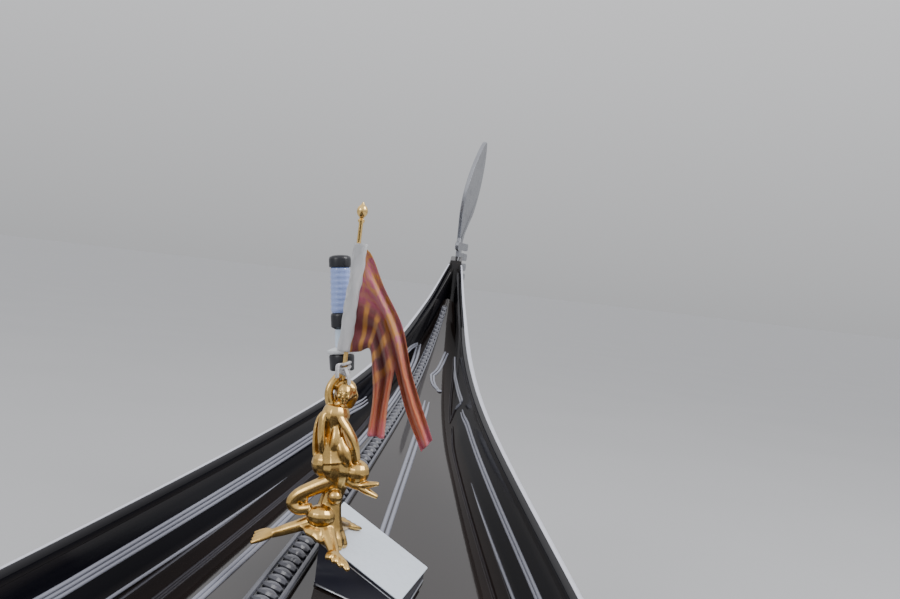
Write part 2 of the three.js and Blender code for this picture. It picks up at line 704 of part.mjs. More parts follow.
function forcolaSocket() {
  const [px] = OAR_PIVOT;
  const z = sheer(px);
  const foot = sheerY(STARBOARD, px) + ROWLOCK_INBOARD;
  const block = box([px - 110, foot - 22, z - 72], [px + 110, foot + 62, z - 24]);
  const slot = box([px - 64, foot - 19.5, z - 63], [px + 52, foot + 19.5, z]);
  return cut(block, slot);
}
add("forcola", "walnut", forcola());
add("forcola_socket", "timber", forcolaSocket());

// The oar trails from the rowlock, its blade in the water and just clear of the level of the boat's bottom.
// Along the oar from the rowlock towards the blade: place, half width, half thickness
const OAR_FORM = [
  [-1450, 15, 15],
  [-1400, 19, 19],
  [-700, 22, 22],
  [0, 25, 25],
  [900, 24, 24],
  [1300, 30, 20],
  [1500, 52, 15],
  [1900, 68, 12],
  [2550, 76, 9],
  [2640, 66, 7],
];
const OAR_DIP = THREE.MathUtils.degToRad(24.2);
function oar() {
  const along = new THREE.Vector3(-Math.cos(OAR_DIP), 0, -Math.sin(OAR_DIP));
  const flat = new THREE.Vector3().crossVectors(along, new THREE.Vector3(0, 0, 1)).normalize();
  const upright = new THREE.Vector3().crossVectors(flat, along);
  const ring = ([place, wide, thick]) =>
    Array.from({ length: 12 }, (_, i) => {
      const a = (i * Math.PI) / 6;
      const p = new THREE.Vector3(...OAR_PIVOT)
        .addScaledVector(along, place)
        .addScaledVector(upright, wide * Math.cos(a))
        .addScaledVector(flat, thick * Math.sin(a));
      return [p.x, p.y, p.z];
    });
  return loft(OAR_FORM.map(ring));
}
add("oar", "beech", oar());

// Bow iron: a plate that follows the stem, carries a comb of six prongs and one aft, and ends in a broad blade
const IRON_THICK = 14;
const IRON_BEND = 1425; // above this height the blade leans to starboard
const IRON_LEAN = 0.09;
const IRON_TURN = 0.18; // the comb and the blade stand turned this much to starboard
const PRONGS = { lowest: 1142, step: 40, high: 25, reach: 150, root: 40 };
function bowIron() {
  const { outer } = postFaces(STEM);
  const front = outer[outer.length - 1][0];
  const top = outer[outer.length - 1][1];
  const seat = outer.slice(1).map(([x, z]) => [x + 0.8, z - 0.8]); // the edge that lies on the stem
  seat[seat.length - 1][1] = top;
  const width = [10, 22, 32, 38, 40];
  const face = seat.slice(0, -1).map(([x, z], i) => [x + width[i], z - width[i] * 0.5]);
  const prong = (z) => [
    [front + PRONGS.root, z],
    [front + PRONGS.reach - 4, z - 2],
    [front + PRONGS.reach, z + PRONGS.high / 2],
    [front + PRONGS.reach - 4, z + PRONGS.high],
    [front + PRONGS.root, z + PRONGS.high - 1],
  ];
  const prongs = [0, 1, 2, 3, 4, 5].flatMap((i) => prong(PRONGS.lowest + 60 + i * PRONGS.step));
  const blade = [
    [48, 1442], [62, 1478], [84, 1508], [118, 1545], [140, 1600], [156, 1670], [150, 1748], [128, 1818],
    [92, 1842], [40, 1798], [-28, 1712], [-66, 1622], [-62, 1545], [-36, 1488], [-12, 1440], [-12, 1424],
    [-108, 1420], [-112, 1408], [-108, 1396], [1, 1392],
  ].map(([x, z]) => [front + x, z]);
  const iron = sidePlate([...face, ...prongs, ...blade, ...seat.reverse()], -BIAS, IRON_THICK);
  const place = iron.attributes.position;
  for (let i = 0; i < place.count; i += 1) {
    const above = Math.max(0, place.getZ(i) - IRON_BEND);
    const ahead = place.getX(i) - front;
    const turned = above > 0 ? ahead : Math.max(0, ahead);
    place.setY(i, place.getY(i) - above * IRON_LEAN - turned * IRON_TURN);
  }
  return iron;
}
add("bow_iron", "steel", bowIron());

// Stern iron: a plain strap up the stern post that ends in a small curl
function sternIron() {
  const { outer } = postFaces(STERN);
  const [x, z] = outer[outer.length - 1];
  const outline = [
    [-0.8, z - 200], [-26, z - 200], [-40, z - 80], [-44, z + 20], [-64, z + 72], [-99, z + 92], [-88, z + 116],
    [-40, z + 110], [4, z + 70], [18, z + 1.5], [0, z + 0.8],
  ];
  return sidePlate(outline.map(([dx, height]) => [x + dx, height]), -BIAS, IRON_THICK);
}
add("stern_iron", "steel", sternIron());

// The gilt ornament on the foredeck: a low block whose top slopes to starboard, the notice card on it, the
// figure that stands on both, and its staff, flag and lamp
const FIGURE = { x: 3190, y: -50, foot: 753, top: 320 }; // top is its height over the foot
const STAFF = { x: 3200, y: -32, top: 637, radius: 5 };
const LAMP = { x: 3244, y: -22, foot: 1068, lean: THREE.MathUtils.degToRad(7.7) };
const CARD = { corners: [[3173, -20], [3407, -34], [3319, -226], [3102, -192]], thick: 2 };
const BLOCK_INSET = 0.94; // the block's outline as a share of the card's
const BLOCK_LIFT = 1.5; // clear of the foredeck
const SLOPE = { foot: 753, across: 0.42, along: 0.1 };
const slopingTop = (x, y, lift) => [
  x,
  y,
  SLOPE.foot + SLOPE.across * (y - FIGURE.y) + SLOPE.along * (x - STAFF.x) + lift,
];

// Height of the foredeck's top at a place, from the straight pieces between its sampled points
function deckHeight(x, y) {
  const across = ACROSS.map((u) => deckPoint(FOREDECK_FORM, x, u, 0));
  let i = 0;
  while (i < across.length - 2 && y > across[i + 1][1]) i += 1;
  const [[, y0, z0], [, y1, z1]] = [across[i], across[i + 1]];
  return z0 + ((z1 - z0) * (y - y0)) / (y1 - y0);
}
function figureBlock() {
  const count = CARD.corners.length;
  const middle = [0, 1].map((k) => CARD.corners.reduce((sum, corner) => sum + corner[k], 0) / count);
  const plan = CARD.corners.map((corner) => corner.map((v, k) => middle[k] + (v - middle[k]) * BLOCK_INSET));
  const foot = plan.map(([x, y]) => [x, y, deckHeight(x, y) - 3]);
  const raised = deck(FOREDECK_FORM, FOREDECK_AFT, FOREDECK_BOW).translate(0, 0, BLOCK_LIFT);
  return cut(loft([foot, plan.map(([x, y]) => slopingTop(x, y, -GAP))]), raised);
}
function noticeCard() {
  return loft([0, CARD.thick].map((lift) => CARD.corners.map(([x, y]) => slopingTop(x, y, lift))));
}
// Everything up to the card's face, as a tool that fits the figure to the slope
function slopeTool() {
  const [reach, deep] = [200, 120];
  const plan = [[-reach, -reach], [reach, -reach], [reach, reach], [-reach, reach]];
  const level = (lift) => plan.map(([dx, dy]) => slopingTop(FIGURE.x + dx, FIGURE.y + dy, lift));
  return loft([level(-deep), level(CARD.thick + 1)]);
}
function figure() {
  const profile = [
    [0, -30], [42, -30], [46, 30], [56, 62], [54, 92], [42, 118], [40, 140], [52, 165], [46, 200], [36, 240],
    [34, 280], [22, 300], [14, FIGURE.top], [0, FIGURE.top],
  ];
  const turned = new THREE.LatheGeometry(profile.map(([r, z]) => new THREE.Vector2(r, z)), 14)
    .rotateX(Math.PI / 2)
    .translate(FIGURE.x, FIGURE.y, FIGURE.foot);
  const body = cut(turned, slopeTool());
  const legs = [
    [90, [[20, 44], [70, 30], [140, 4], [142, -10], [100, 4], [60, 18], [20, 24]]],
    [250, [[20, 34], [60, 14], [76, -6], [76, -18], [50, -4], [20, 8]]],
  ].map(([deg, outline]) =>
    sidePlate(outline, 0, 24).rotateZ(THREE.MathUtils.degToRad(deg)).translate(FIGURE.x, FIGURE.y, FIGURE.foot),
  );
  return join(body, ...legs);
}
function staff() {
  const { radius, top } = STAFF;
  const low = FIGURE.top + 2;
  const ball = [[10, top - 24], [12, top - 12], [9, top - 3], [0, top]];
  const profile = [[0, low], [radius, low], [radius, top - 32], ...ball];
  return new THREE.LatheGeometry(profile.map(([r, z]) => new THREE.Vector2(r, z)), 12)
    .rotateX(Math.PI / 2)
    .translate(STAFF.x, STAFF.y, FIGURE.foot);
}
// Outline of the hanging flag: distance to starboard of the staff, height over the figure's foot
const FLAG_OUTLINE = [
  [8, 555], [24, 553], [52, 489], [105, 408], [128, 319], [180, 211], [162, 187], [112, 279], [94, 334],
  [90, 289], [86, 203], [66, 205], [60, 289], [44, 373], [8, 357],
];
const FLAG_THICK = 20;
function flag() {
  const outline = FLAG_OUTLINE.map(([y, z]) => [-y, z]);
  return crossPlate(outline, -FLAG_THICK / 2, FLAG_THICK).translate(STAFF.x, STAFF.y, FIGURE.foot);
}
function signalLamp() {
  const profile = [
    [0, 0], [24, 0], [24, 32], [28, 33], [28, 45], [12.5, 48], [12.5, 79], [19, 82], [19, 196],
    [21, 198], [21, 214], [16, 220], [0, 220],
  ];
  return new THREE.LatheGeometry(profile.map(([r, z]) => new THREE.Vector2(r, z)), 16)
    .rotateX(Math.PI / 2 - LAMP.lean)
    .translate(LAMP.x, LAMP.y, LAMP.foot);
}
add("figure_block", "lacquer", figureBlock());
add("notice_card", "card", noticeCard());
add("gilt_figure", "gilt", figure());
add("flag_staff", "gilt", staff());
add("flag", "cloth", flag());
add("signal_lamp", "lens", signalLamp());

export default boat;
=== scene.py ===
# A full-size rowing gondola: its looks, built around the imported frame.
import json
import math
import random

import bmesh
import bpy
from mathutils import Matrix, Vector
from mathutils.bvhtree import BVHTree

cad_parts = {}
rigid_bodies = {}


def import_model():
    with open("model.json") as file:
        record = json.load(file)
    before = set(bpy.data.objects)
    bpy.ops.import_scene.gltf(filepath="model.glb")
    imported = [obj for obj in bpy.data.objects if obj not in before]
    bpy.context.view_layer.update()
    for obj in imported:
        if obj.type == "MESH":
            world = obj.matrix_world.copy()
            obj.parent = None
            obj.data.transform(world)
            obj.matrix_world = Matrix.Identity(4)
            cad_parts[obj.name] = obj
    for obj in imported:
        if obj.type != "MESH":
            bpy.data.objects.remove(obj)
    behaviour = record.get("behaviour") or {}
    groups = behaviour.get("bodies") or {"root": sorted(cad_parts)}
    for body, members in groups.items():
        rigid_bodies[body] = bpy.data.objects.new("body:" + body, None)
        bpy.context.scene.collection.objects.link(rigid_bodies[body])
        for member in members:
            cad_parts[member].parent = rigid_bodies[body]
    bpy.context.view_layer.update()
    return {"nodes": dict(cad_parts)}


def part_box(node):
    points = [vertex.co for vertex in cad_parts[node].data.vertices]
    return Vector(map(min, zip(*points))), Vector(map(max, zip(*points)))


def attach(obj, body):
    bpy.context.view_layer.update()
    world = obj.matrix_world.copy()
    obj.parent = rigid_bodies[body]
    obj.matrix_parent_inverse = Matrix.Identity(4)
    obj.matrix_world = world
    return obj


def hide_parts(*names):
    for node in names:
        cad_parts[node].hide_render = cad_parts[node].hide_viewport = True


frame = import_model()
PORT, STARBOARD = 1, -1
SIDES = (("port", PORT), ("starboard", STARBOARD))

# The hull's driving dimensions, in metres, as the frame has them
BEAM, BIAS, POST_HALF, PLANK = 1.42, 0.12, 0.022, 0.018
BOTTOM_THICK, RAIL_HEIGHT, RAIL_PROUD = 0.025, 0.022, 0.008
FLAT_HALF, ROCKER = 0.9, 0.03125
BOTTOM_HALF = {PORT: 0.57, STARBOARD: 0.35}
BOTTOM_BOW, BOTTOM_STERN = 4.7, -4.6
PLANKS_AFT, PLANKS_FORE = -5.35, 5.291
BULGE, DECK_THICK, FLOOR_TOP, FLOORBOARD = 0.014, 0.014, 0.09, 0.015
FOREDECK, AFTDECK = (2.0, 5.15), (-5.2, -1.9)
CAMBER_POWER, DECK_GAP = 1.7, 0.003
WATERLINE = 0.18

# x, sheer breadth as a share of the full half breadth, bottom breadth as a share, sheer height
LINES = [
    (-5.36, 0.0, 0.0, 1.69), (-5.0, 0.095, 0.0, 1.455), (-4.5, 0.235, 0.075, 1.215), (-4.0, 0.39, 0.26, 1.04),
    (-3.0, 0.69, 0.62, 0.805), (-2.0, 0.9, 0.87, 0.668), (-1.0, 0.985, 0.975, 0.602), (0.0, 1.0, 1.0, 0.585),
    (1.0, 0.985, 0.98, 0.596), (2.0, 0.915, 0.89, 0.63), (3.0, 0.71, 0.64, 0.695), (4.0, 0.335, 0.26, 0.885),
    (4.5, 0.182, 0.085, 1.007), (5.0, 0.072, 0.0, 1.184), (5.3, 0.0, 0.0, 1.348),
]
# Lower edge of the planks along each post: x, height
STEM_EDGE = [(4.7, 0.477), (4.9, 0.59), (5.05, 0.722), (5.17, 0.885), (5.25, 1.06), (5.292, 1.23)]
STERN_EDGE = [(-5.352, 1.53), (-5.31, 1.31), (-5.2, 1.03), (-5.04, 0.78), (-4.84, 0.59), (-4.6, 0.453)]
# x, depth of the deck's edge under the sheer, height of the crown over the edge
FOREDECK_ROWS = [(2.0, 0.158, 0.108), (3.0, 0.146, 0.098), (4.0, 0.116, 0.068), (4.7, 0.09, 0.036),
                 (5.15, 0.072, 0.014)]
AFTDECK_ROWS = [(-5.2, 0.062, 0.004), (-4.0, 0.082, 0.018), (-3.0, 0.092, 0.026), (-1.9, 0.108, 0.03)]
# x, half breadth of the ridge, its height
RIDGE_ROWS = [(2.0, 0.04, 0.02), (3.0, 0.036, 0.02), (4.0, 0.022, 0.016), (5.1, 0.009, 0.01)]


def table_curve(rows, column=1):
    """A smooth curve through the rows of a table, as a function of the first column."""
    xs = [row[0] for row in rows]
    ys = [row[column] for row in rows]
    last = len(xs) - 1

    def slope(i):
        low, high = max(i - 1, 0), min(i + 1, last)
        return (ys[high] - ys[low]) / (xs[high] - xs[low])

    def value(x):
        at = min(max(x, xs[0]), xs[last])
        i = 0
        while i < last - 1 and at > xs[i + 1]:
            i += 1
        h = xs[i + 1] - xs[i]
        t = (at - xs[i]) / h
        near = ys[i] * (1 + 2 * t) * (1 - t) ** 2 + h * slope(i) * t * (1 - t) ** 2
        return near + ys[i + 1] * t * t * (3 - 2 * t) + h * slope(i + 1) * t * t * (t - 1)

    return value


sheer_share, bottom_share, sheer = (table_curve(LINES, c) for c in (1, 2, 3))
stem_edge, stern_edge = table_curve(STEM_EDGE), table_curve(STERN_EDGE)


def clamp(value, low=0.0, high=1.0):
    return min(max(value, low), high)


def ease(value):
    t = clamp(value)
    return t * t * (3 - 2 * t)


def spread(low, high, count):
    return [low + (high - low) * i / (count - 1) for i in range(count)]


def turns(count):
    """Angles evenly round a circle."""
    return [2 * math.pi * k / count for k in range(count)]


def stations(low, high, step=0.05):
    return spread(low, high, max(2, round((high - low) / step) + 1))


def keel(x):
    return ROCKER * max(0.0, abs(x) - FLAT_HALF) ** 2


def low_edge(x):
    if x > BOTTOM_BOW:
        return stem_edge(x)
    if x < BOTTOM_STERN:
        return stern_edge(x)
    return keel(x) + BOTTOM_THICK


def plank_top(x):
    return sheer(x) - RAIL_HEIGHT


def sheer_y(side, x):
    full = BEAM / 2 + side * BIAS
    return side * (POST_HALF + (full - POST_HALF) * sheer_share(x)) - BIAS


def bottom_y(side, x):
    return side * (POST_HALF + (BOTTOM_HALF[side] - POST_HALF) * bottom_share(x)) - BIAS


def outer_y(side, x, t):
    low, high = bottom_y(side, x), sheer_y(side, x)
    return low + (high - low) * t + side * BULGE * sheer_share(x) * 4 * t * (1 - t)


def inner_y(side, x, z):
    low, high = low_edge(x), plank_top(x)
    return outer_y(side, x, clamp((z - low) / (high - low))) - side * PLANK


class Deck:
    """A cambered deck; crest is how far to port its highest line runs, as a share of the half width."""

    def __init__(self, rows, crest):
        self.depth, self.crown, self.crest = table_curve(rows, 1), table_curve(rows, 2), crest

    def edge(self, x):
        return sheer(x) - self.depth(x)

    def sides(self, x, z):
        return inner_y(PORT, x, z) - DECK_GAP, inner_y(STARBOARD, x, z) + DECK_GAP

    def at(self, x, u, lift=0.0):
        port, starboard = self.sides(x, self.edge(x))
        share = self.crest + u * (1 - math.copysign(1, u) * self.crest)
        z = self.edge(x) + self.crown(x) * (1 - abs(u) ** CAMBER_POWER) + lift
        return Vector((x, (port + starboard) / 2 + share * (port - starboard) / 2, z))

    def off(self, x, aside, lift=0.0):
        """The point that far to port of the crest."""
        middle = self.at(x, 0).y
        port, starboard = self.sides(x, self.edge(x))
        reach = port - middle if aside > 0 else middle - starboard
        return self.at(x, clamp(aside / reach, -1, 1), lift)


FORE, AFT = Deck(FOREDECK_ROWS, 0.2), Deck(AFTDECK_ROWS, 0.0)


# Mesh making

def skin(sections, closed=True, caps=True):
    """Faces between sections of the same count, as (points, faces)."""
    count = len(sections[0])
    points = [tuple(p) for section in sections for p in section]
    faces = []
    for s in range(len(sections) - 1):
        base = s * count
        for i in range(count if closed else count - 1):
            j = (i + 1) % count
            faces.append((base + i, base + j, base + count + j, base + count + i))
    if closed and caps:
        last = (len(sections) - 1) * count
        faces.append(tuple(reversed(range(count))))
        faces.append(tuple(range(last, last + count)))
    return points, faces


def merged(parts):
    points, faces = [], []
    for some_points, some_faces in parts:
        base = len(points)
        points += some_points
        faces += [tuple(base + i for i in face) for face in some_faces]
    return points, faces


def placed(name, data):
    """A new object of the scene that holds the data."""
    obj = bpy.data.objects.new(name, data)
    bpy.context.scene.collection.objects.link(obj)
    return obj


def piece(name, part, material, body="hull", replaces=(), sharp=40):
    """A shown mesh object that rides on a body."""
    mesh = bpy.data.meshes.new(name)
    mesh.from_pydata([tuple(p) for p in part[0]], [], part[1])
    tool = bmesh.new()
    tool.from_mesh(mesh)
    bmesh.ops.remove_doubles(tool, verts=tool.verts, dist=1e-6)
    bmesh.ops.recalc_face_normals(tool, faces=tool.faces)
    tool.to_mesh(mesh)
    tool.free()
    obj = placed(name, mesh)
    finish_piece(obj, material, body, replaces, sharp)
    return obj


def finish_piece(obj, material, body="hull", replaces=(), sharp=40):
    obj.data.shade_smooth()
    obj.data.set_sharp_from_angle(angle=math.radians(sharp))
    obj.data.materials.clear()
    obj.data.materials.append(material)
    if obj.parent is None:
        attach(obj, body)
    if replaces:
        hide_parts(*replaces)


def bake(obj):
    """Applies the object's modifiers."""
    graph = bpy.context.evaluated_depsgraph_get()
    mesh = bpy.data.meshes.new_from_object(obj.evaluated_get(graph))
    obj.modifiers.clear()
    obj.data = mesh


def cast(obj, voxel, smooth):
    """Fuses overlapping parts into one even mesh and smooths it that many times."""
    fuse = obj.modifiers.new("fuse", "REMESH")
    fuse.mode, fuse.voxel_size = "VOXEL", voxel
    soft = obj.modifiers.new("soft", "SMOOTH")
    soft.factor, soft.iterations = 0.5, smooth
    bake(obj)


def frames_along(points, closed=False):
    """Point, side and up along a line, turned as little as may be."""
    made, count = [], len(points)
    points = [Vector(p) for p in points]
    up = None
    for i, p in enumerate(points):
        before = points[(i - 1) % count] if closed else points[max(i - 1, 0)]
        after = points[(i + 1) % count] if closed else points[min(i + 1, count - 1)]
        along = (after - before).normalized()
        if up is None:
            up = Vector((0, 0, 1)) if abs(along.z) < 0.9 else Vector((1, 0, 0))
        up = (up - along * up.dot(along)).normalized()
        made.append((p, up.cross(along), up))
    return made


def tube(points, radius, sides=10, flat=1.0, closed=False):
    """A round or oval bar along the points; radius is a number or a function of the share of the way."""
    sections, rows = [], frames_along(points, closed)
    for i, (p, side, up) in enumerate(rows):
        r = radius(i / (len(rows) - 1)) if callable(radius) else radius
        sections.append([p + side * (r * math.cos(a)) + up * (r * flat * math.sin(a)) for a in turns(sides)])
    if closed:
        return skin(sections + [sections[0]], caps=False)
    return skin(sections)


def faded(radius, quick, least=0.5):
    """A bar's radius that falls to the least share of itself at both ends."""
    return lambda s: radius * (least + (1 - least) * ease(min(s, 1 - s) * quick))


def tapered(points, radii, flat=1.0, sides=14, count=28):
    """A limb on a smooth line through the points, with its radii spaced evenly along it."""
    size = table_curve([(i / (len(radii) - 1), r) for i, r in enumerate(radii)])
    return tube(smooth_line(points, count), size, sides, flat)


def lathe(profile, centre, sides=32, axis=Vector((0, 0, 1))):
    """A turned shape: profile rows are radius and height over the centre, along the axis."""
    turn = Vector((0, 0, 1)).rotation_difference(axis)
    return skin([[Vector(centre) + turn @ Vector((radius * math.cos(a), radius * math.sin(a), height))
                  for a in turns(sides)] for radius, height in profile])


def ball(centre, size, sides=14, rings=9):
    """An egg of the three half sizes."""
    sections = []
    for i in range(rings):
        b = math.pi * (i + 0.5) / rings - math.pi / 2
        sections.append([
            Vector(centre) + Vector((size[0] * math.cos(b) * math.cos(a), size[1] * math.cos(b) * math.sin(a),
                                     size[2] * math.sin(b)))
            for a in turns(sides)
        ])
    return skin(sections)


def smooth_line(points, count, closed=False):
    """Evenly numbered points on a smooth line through the given ones."""
    points = [Vector(p) for p in points]
    n = len(points)
    spans = n if closed else n - 1
    made = []
    for k in range(count):
        t = spans * k / (count if closed else count - 1)
        i = min(int(t), spans - 1)
        f = t - i
        pick = (lambda j: points[j % n]) if closed else (lambda j: points[min(max(j, 0), n - 1)])
        a, b, c, d = pick(i - 1), pick(i), pick(i + 1), pick(i + 2)
        made.append(0.5 * ((2 * b) + (c - a) * f + (2 * a - 5 * b + 4 * c - d) * f * f
                           + (3 * b - a - 3 * c + d) * f ** 3))
    return made


def flat_line(points, count):
    """The same for flat points."""
    return [(p.x, p.y) for p in smooth_line([(a, b, 0) for a, b in points], count)]


def rectangle(low, high):
    """The corners of a flat rectangle between two opposite ones."""
    return [(low[0], low[1]), (high[0], low[1]), (high[0], high[1]), (low[0], high[1])]


def along_sides(corners, shares):
    """Points on each side of a closed outline; shares(length) tells how far along each of them is."""
    made = []
    for i, p in enumerate(corners):
        q = corners[(i + 1) % len(corners)]
        made += [tuple(a + (b - a) * t for a, b in zip(p, q)) for t in shares(math.dist(p, q))]
    return made


def rounded_outline(points, times=2, keep=0.25):
    """Cuts the corners of a closed flat outline."""
    for _ in range(times):
        points = along_sides(points, lambda _: (keep, 1 - keep))
    return points


def plate(outline, half, chamfer, place):
    """A plate with eased edges from flat (a, b) pairs; place(a, b, c) puts a point at c across it."""
    area = sum(p[0] * q[1] - q[0] * p[1] for p, q in zip(outline, outline[1:] + outline[:1]))
    if area < 0:
        outline = outline[::-1]
    inset = []
    for i, p in enumerate(outline):
        before, after = outline[i - 1], outline[(i + 1) % len(outline)]
        run = Vector((after[0] - before[0], after[1] - before[1])).normalized()
        inset.append((p[0] - run.y * chamfer, p[1] + run.x * chamfer))
    rings = [(inset, half), (outline, half - chamfer), (outline, chamfer - half), (inset, -half)]
    return skin([[place(a, b, c) for a, b in ring] for ring, c in rings])


# Materials

class Paint:
    """A node material with the object's own coordinates, in metres."""

    def __init__(self, name, **plain):
        self.material = bpy.data.materials.new(name)
        self.material.use_nodes = True
        self.tree = self.material.node_tree
        self.shader = self.tree.nodes["Principled BSDF"]
        for socket, value in plain.items():
            self.shader.inputs[socket.replace("_", " ")].default_value = value
        self.where = self.tree.nodes.new("ShaderNodeTexCoord").outputs["Object"]
        self.relief = None

    def node(self, kind, out, values=(), **settings):
        """Adds a node with its settings, feeds its sockets and gives one of its outputs."""
        made = self.tree.nodes.new(kind)
        for name, value in settings.items():
            setattr(made, name, value)
        for socket, value in dict(values).items():
            if isinstance(value, bpy.types.NodeSocket):
                self.tree.links.new(value, made.inputs[socket])
            else:
                made.inputs[socket].default_value = value
        return made.outputs[out]

    def stretched(self, scale):
        return self.node("ShaderNodeMapping", "Vector", {"Vector": self.where, "Scale": scale})

    def noise(self, scale, detail=4.0, stretch=None, rough=0.5, distortion=0.0):
        where = self.stretched(stretch) if stretch else self.where
        return self.node("ShaderNodeTexNoise", "Fac", {
            "Vector": where, "Scale": scale, "Detail": detail, "Roughness": rough, "Distortion": distortion})

    def cells(self, scale, feature="F1"):
        values = {"Vector": self.where, "Scale": scale}
        return self.node("ShaderNodeTexVoronoi", "Distance", values, feature=feature)

    def waves(self, scale, direction):
        values = {"Vector": self.where, "Scale": scale, "Detail": 2.0}
        return self.node("ShaderNodeTexWave", "Fac", values, bands_direction=direction)

    def maths(self, operation, a, b=0.0, c=0.0):
        return self.node("ShaderNodeMath", 0, {0: a, 1: b, 2: c}, operation=operation)

    def between(self, value, low, high, to_low=0.0, to_high=1.0):
        values = {"Value": value, "From Min": low, "From Max": high, "To Min": to_low, "To Max": to_high}
        return self.node("ShaderNodeMapRange", "Result", values)

    def mix(self, share, *colours):
        """Runs from the first colour to the second as the share goes from 0 to 1."""
        first, second = (c if isinstance(c, bpy.types.NodeSocket) else (*c, 1.0) for c in colours)
        return self.node("ShaderNodeMix", 2, {0: share, 6: first, 7: second}, data_type="RGBA")

    def times(self, a, b):
        return self.maths("MULTIPLY", a, b)

    def worn(self, low=0.52, high=0.6):
        """1 along convex edges, 0 elsewhere."""
        return self.between(self.node("ShaderNodeNewGeometry", "Pointiness"), low, high)

    def hollow(self, low=0.42, high=0.5):
        """1 in creases, 0 elsewhere."""
        return self.between(self.node("ShaderNodeNewGeometry", "Pointiness"), low, high, 1.0, 0.0)

    def set(self, **sockets):
        for name, value in sockets.items():
            self.tree.links.new(value, self.shader.inputs[name.replace("_", " ")])
        return self

    def bump(self, height, depth):
        """Adds a relief of that depth, in metres, on the ones before it."""
        values = {"Height": height, "Strength": 1.0, "Distance": depth}
        if self.relief is not None:
            values["Normal"] = self.relief
        self.relief = self.node("ShaderNodeBump", "Normal", values)
        self.tree.links.new(self.relief, self.shader.inputs["Normal"])
        return self


def scaled(colour, share):
    return tuple(min(1, c * share) for c in colour)


def lacquer(name, low, high, rough, dust=0.05, wavy=0.0005, shine=0.5):
    """Glossy boat lacquer over planks: long waves, brush marks, dust and paler rubbed edges."""
    p = Paint(name, Specular_IOR_Level=shine)
    body = p.mix(p.noise(3.0, 3.0), low, high)
    specks = p.between(p.noise(160.0, 6.0, rough=0.7), 0.62, 0.78)
    drift = p.between(p.noise(2.3, 5.0, rough=0.65), 0.5, 0.75)
    film = p.times(p.times(specks, drift), dust * 4)
    dusty = p.mix(film, body, (0.22, 0.21, 0.2))
    p.set(Base_Color=p.mix(p.times(p.worn(0.53, 0.64), 0.25), dusty, (0.1, 0.09, 0.085)))
    marks = p.noise(9.0, 5.0, (0.15, 1.0, 1.0), 0.6)
    base = p.between(marks, 0.3, 0.8, rough * 0.6, rough * 1.7)
    p.set(Roughness=p.maths("ADD", base, p.times(film, 0.5)))
    p.bump(p.noise(5.0, 2.0, (0.35, 1.0, 1.0)), wavy)
    p.bump(p.noise(420.0, 2.0, (0.05, 1.0, 1.0)), 0.00002)
    return p.material


def wood(name, dark, light, stretch, rough, ring=26.0, relief=0.0004):
    """Oiled or varnished wood: rings and pores drawn out along the grain."""
    p = Paint(name)
    warp = p.noise(1.6, 3.0, stretch)
    rings = p.node("ShaderNodeTexWave", "Fac", {
        "Vector": p.stretched(stretch), "Scale": ring, "Distortion": 5.0, "Detail": 3.0, "Detail Scale": 1.2})
    pores = p.between(p.noise(700.0, 3.0, tuple(s * s for s in stretch), 0.7), 0.55, 0.75)
    colour = p.mix(p.maths("MULTIPLY_ADD", rings, 0.6, p.times(warp, 0.4)), dark, light)
    colour = p.mix(p.times(pores, 0.55), colour, scaled(dark, 0.35))
    p.set(Base_Color=p.mix(p.times(p.worn(), 0.4), colour, scaled(light, 1.5)))
    p.set(Roughness=p.between(p.noise(14.0, 4.0), 0.3, 0.7, rough * 0.75, rough * 1.3))
    p.bump(pores, -relief * 0.5)
    p.bump(rings, relief)
    return p.material


def metal(name, bright, dull, rough, patina=0.5, scratch=(1.0, 1.0, 0.06), relief=0.00006):
    """Polished metal: fine scratches, patches of tarnish, and colour darkened in the hollows, as patina and
    as painted shade.
    """
    p = Paint(name, Metallic=1.0)
    stain = p.between(p.noise(22.0, 6.0, rough=0.65), 0.48, 0.72)
    tint = p.mix(p.times(stain, patina), bright, dull)
    # Darker in the hollows: patina, and painted shade where the hollows are shaded.
    p.set(Base_Color=p.mix(p.times(p.hollow(), 0.85), tint, scaled(dull, 0.25)))
    lines = p.noise(900.0, 3.0, scratch, 0.6)
    polish = p.between(lines, 0.3, 0.7, rough * 0.7, rough * 1.3)
    p.set(Roughness=p.maths("ADD", polish, p.times(stain, 0.16)))
    p.bump(lines, relief)
    p.bump(p.noise(38.0, 2.0), 0.0005)
    return p.material


def hide(name, dark, light):
    """Leather: pebbled grain, creases and colour that is darker in the hollows than on the crowns."""
    p = Paint(name, Sheen_Weight=0.15)
    grain = p.cells(380.0)
    crease = p.cells(46.0, "DISTANCE_TO_EDGE")
    patch = p.between(p.noise(7.0, 4.0), 0.35, 0.7)
    colour = p.mix(patch, dark, light)
    p.set(Base_Color=p.mix(p.times(p.hollow(0.44, 0.5), 0.7), colour, scaled(dark, 0.3)))
    p.set(Roughness=p.between(p.noise(30.0, 4.0), 0.3, 0.7, 0.34, 0.52))
    p.bump(p.between(crease, 0.0, 0.12), 0.0005)
    p.bump(grain, 0.0003)
    return p.material


WEAVE_DEEP = 0.0002


def woven(name, colours, thread, sheen=0.4):
    """Cloth with a plain weave, in patches of three colours that run into each other."""
    p = Paint(name, Sheen_Weight=sheen, Sheen_Roughness=0.35, Roughness=0.72)
    first, second, third = colours
    streak = p.between(p.noise(13.0, 3.0, (1.0, 1.0, 0.35), 0.5, 0.8), 0.42, 0.6)
    bloom = p.between(p.noise(21.0, 4.0, (1.0, 1.0, 0.5), 0.5, 1.2), 0.5, 0.62)
    p.set(Base_Color=p.mix(bloom, p.mix(streak, first, second), third))
    for direction in ("Z", "Y"):
        p.bump(p.waves(thread, direction), WEAVE_DEEP)
    return p.material


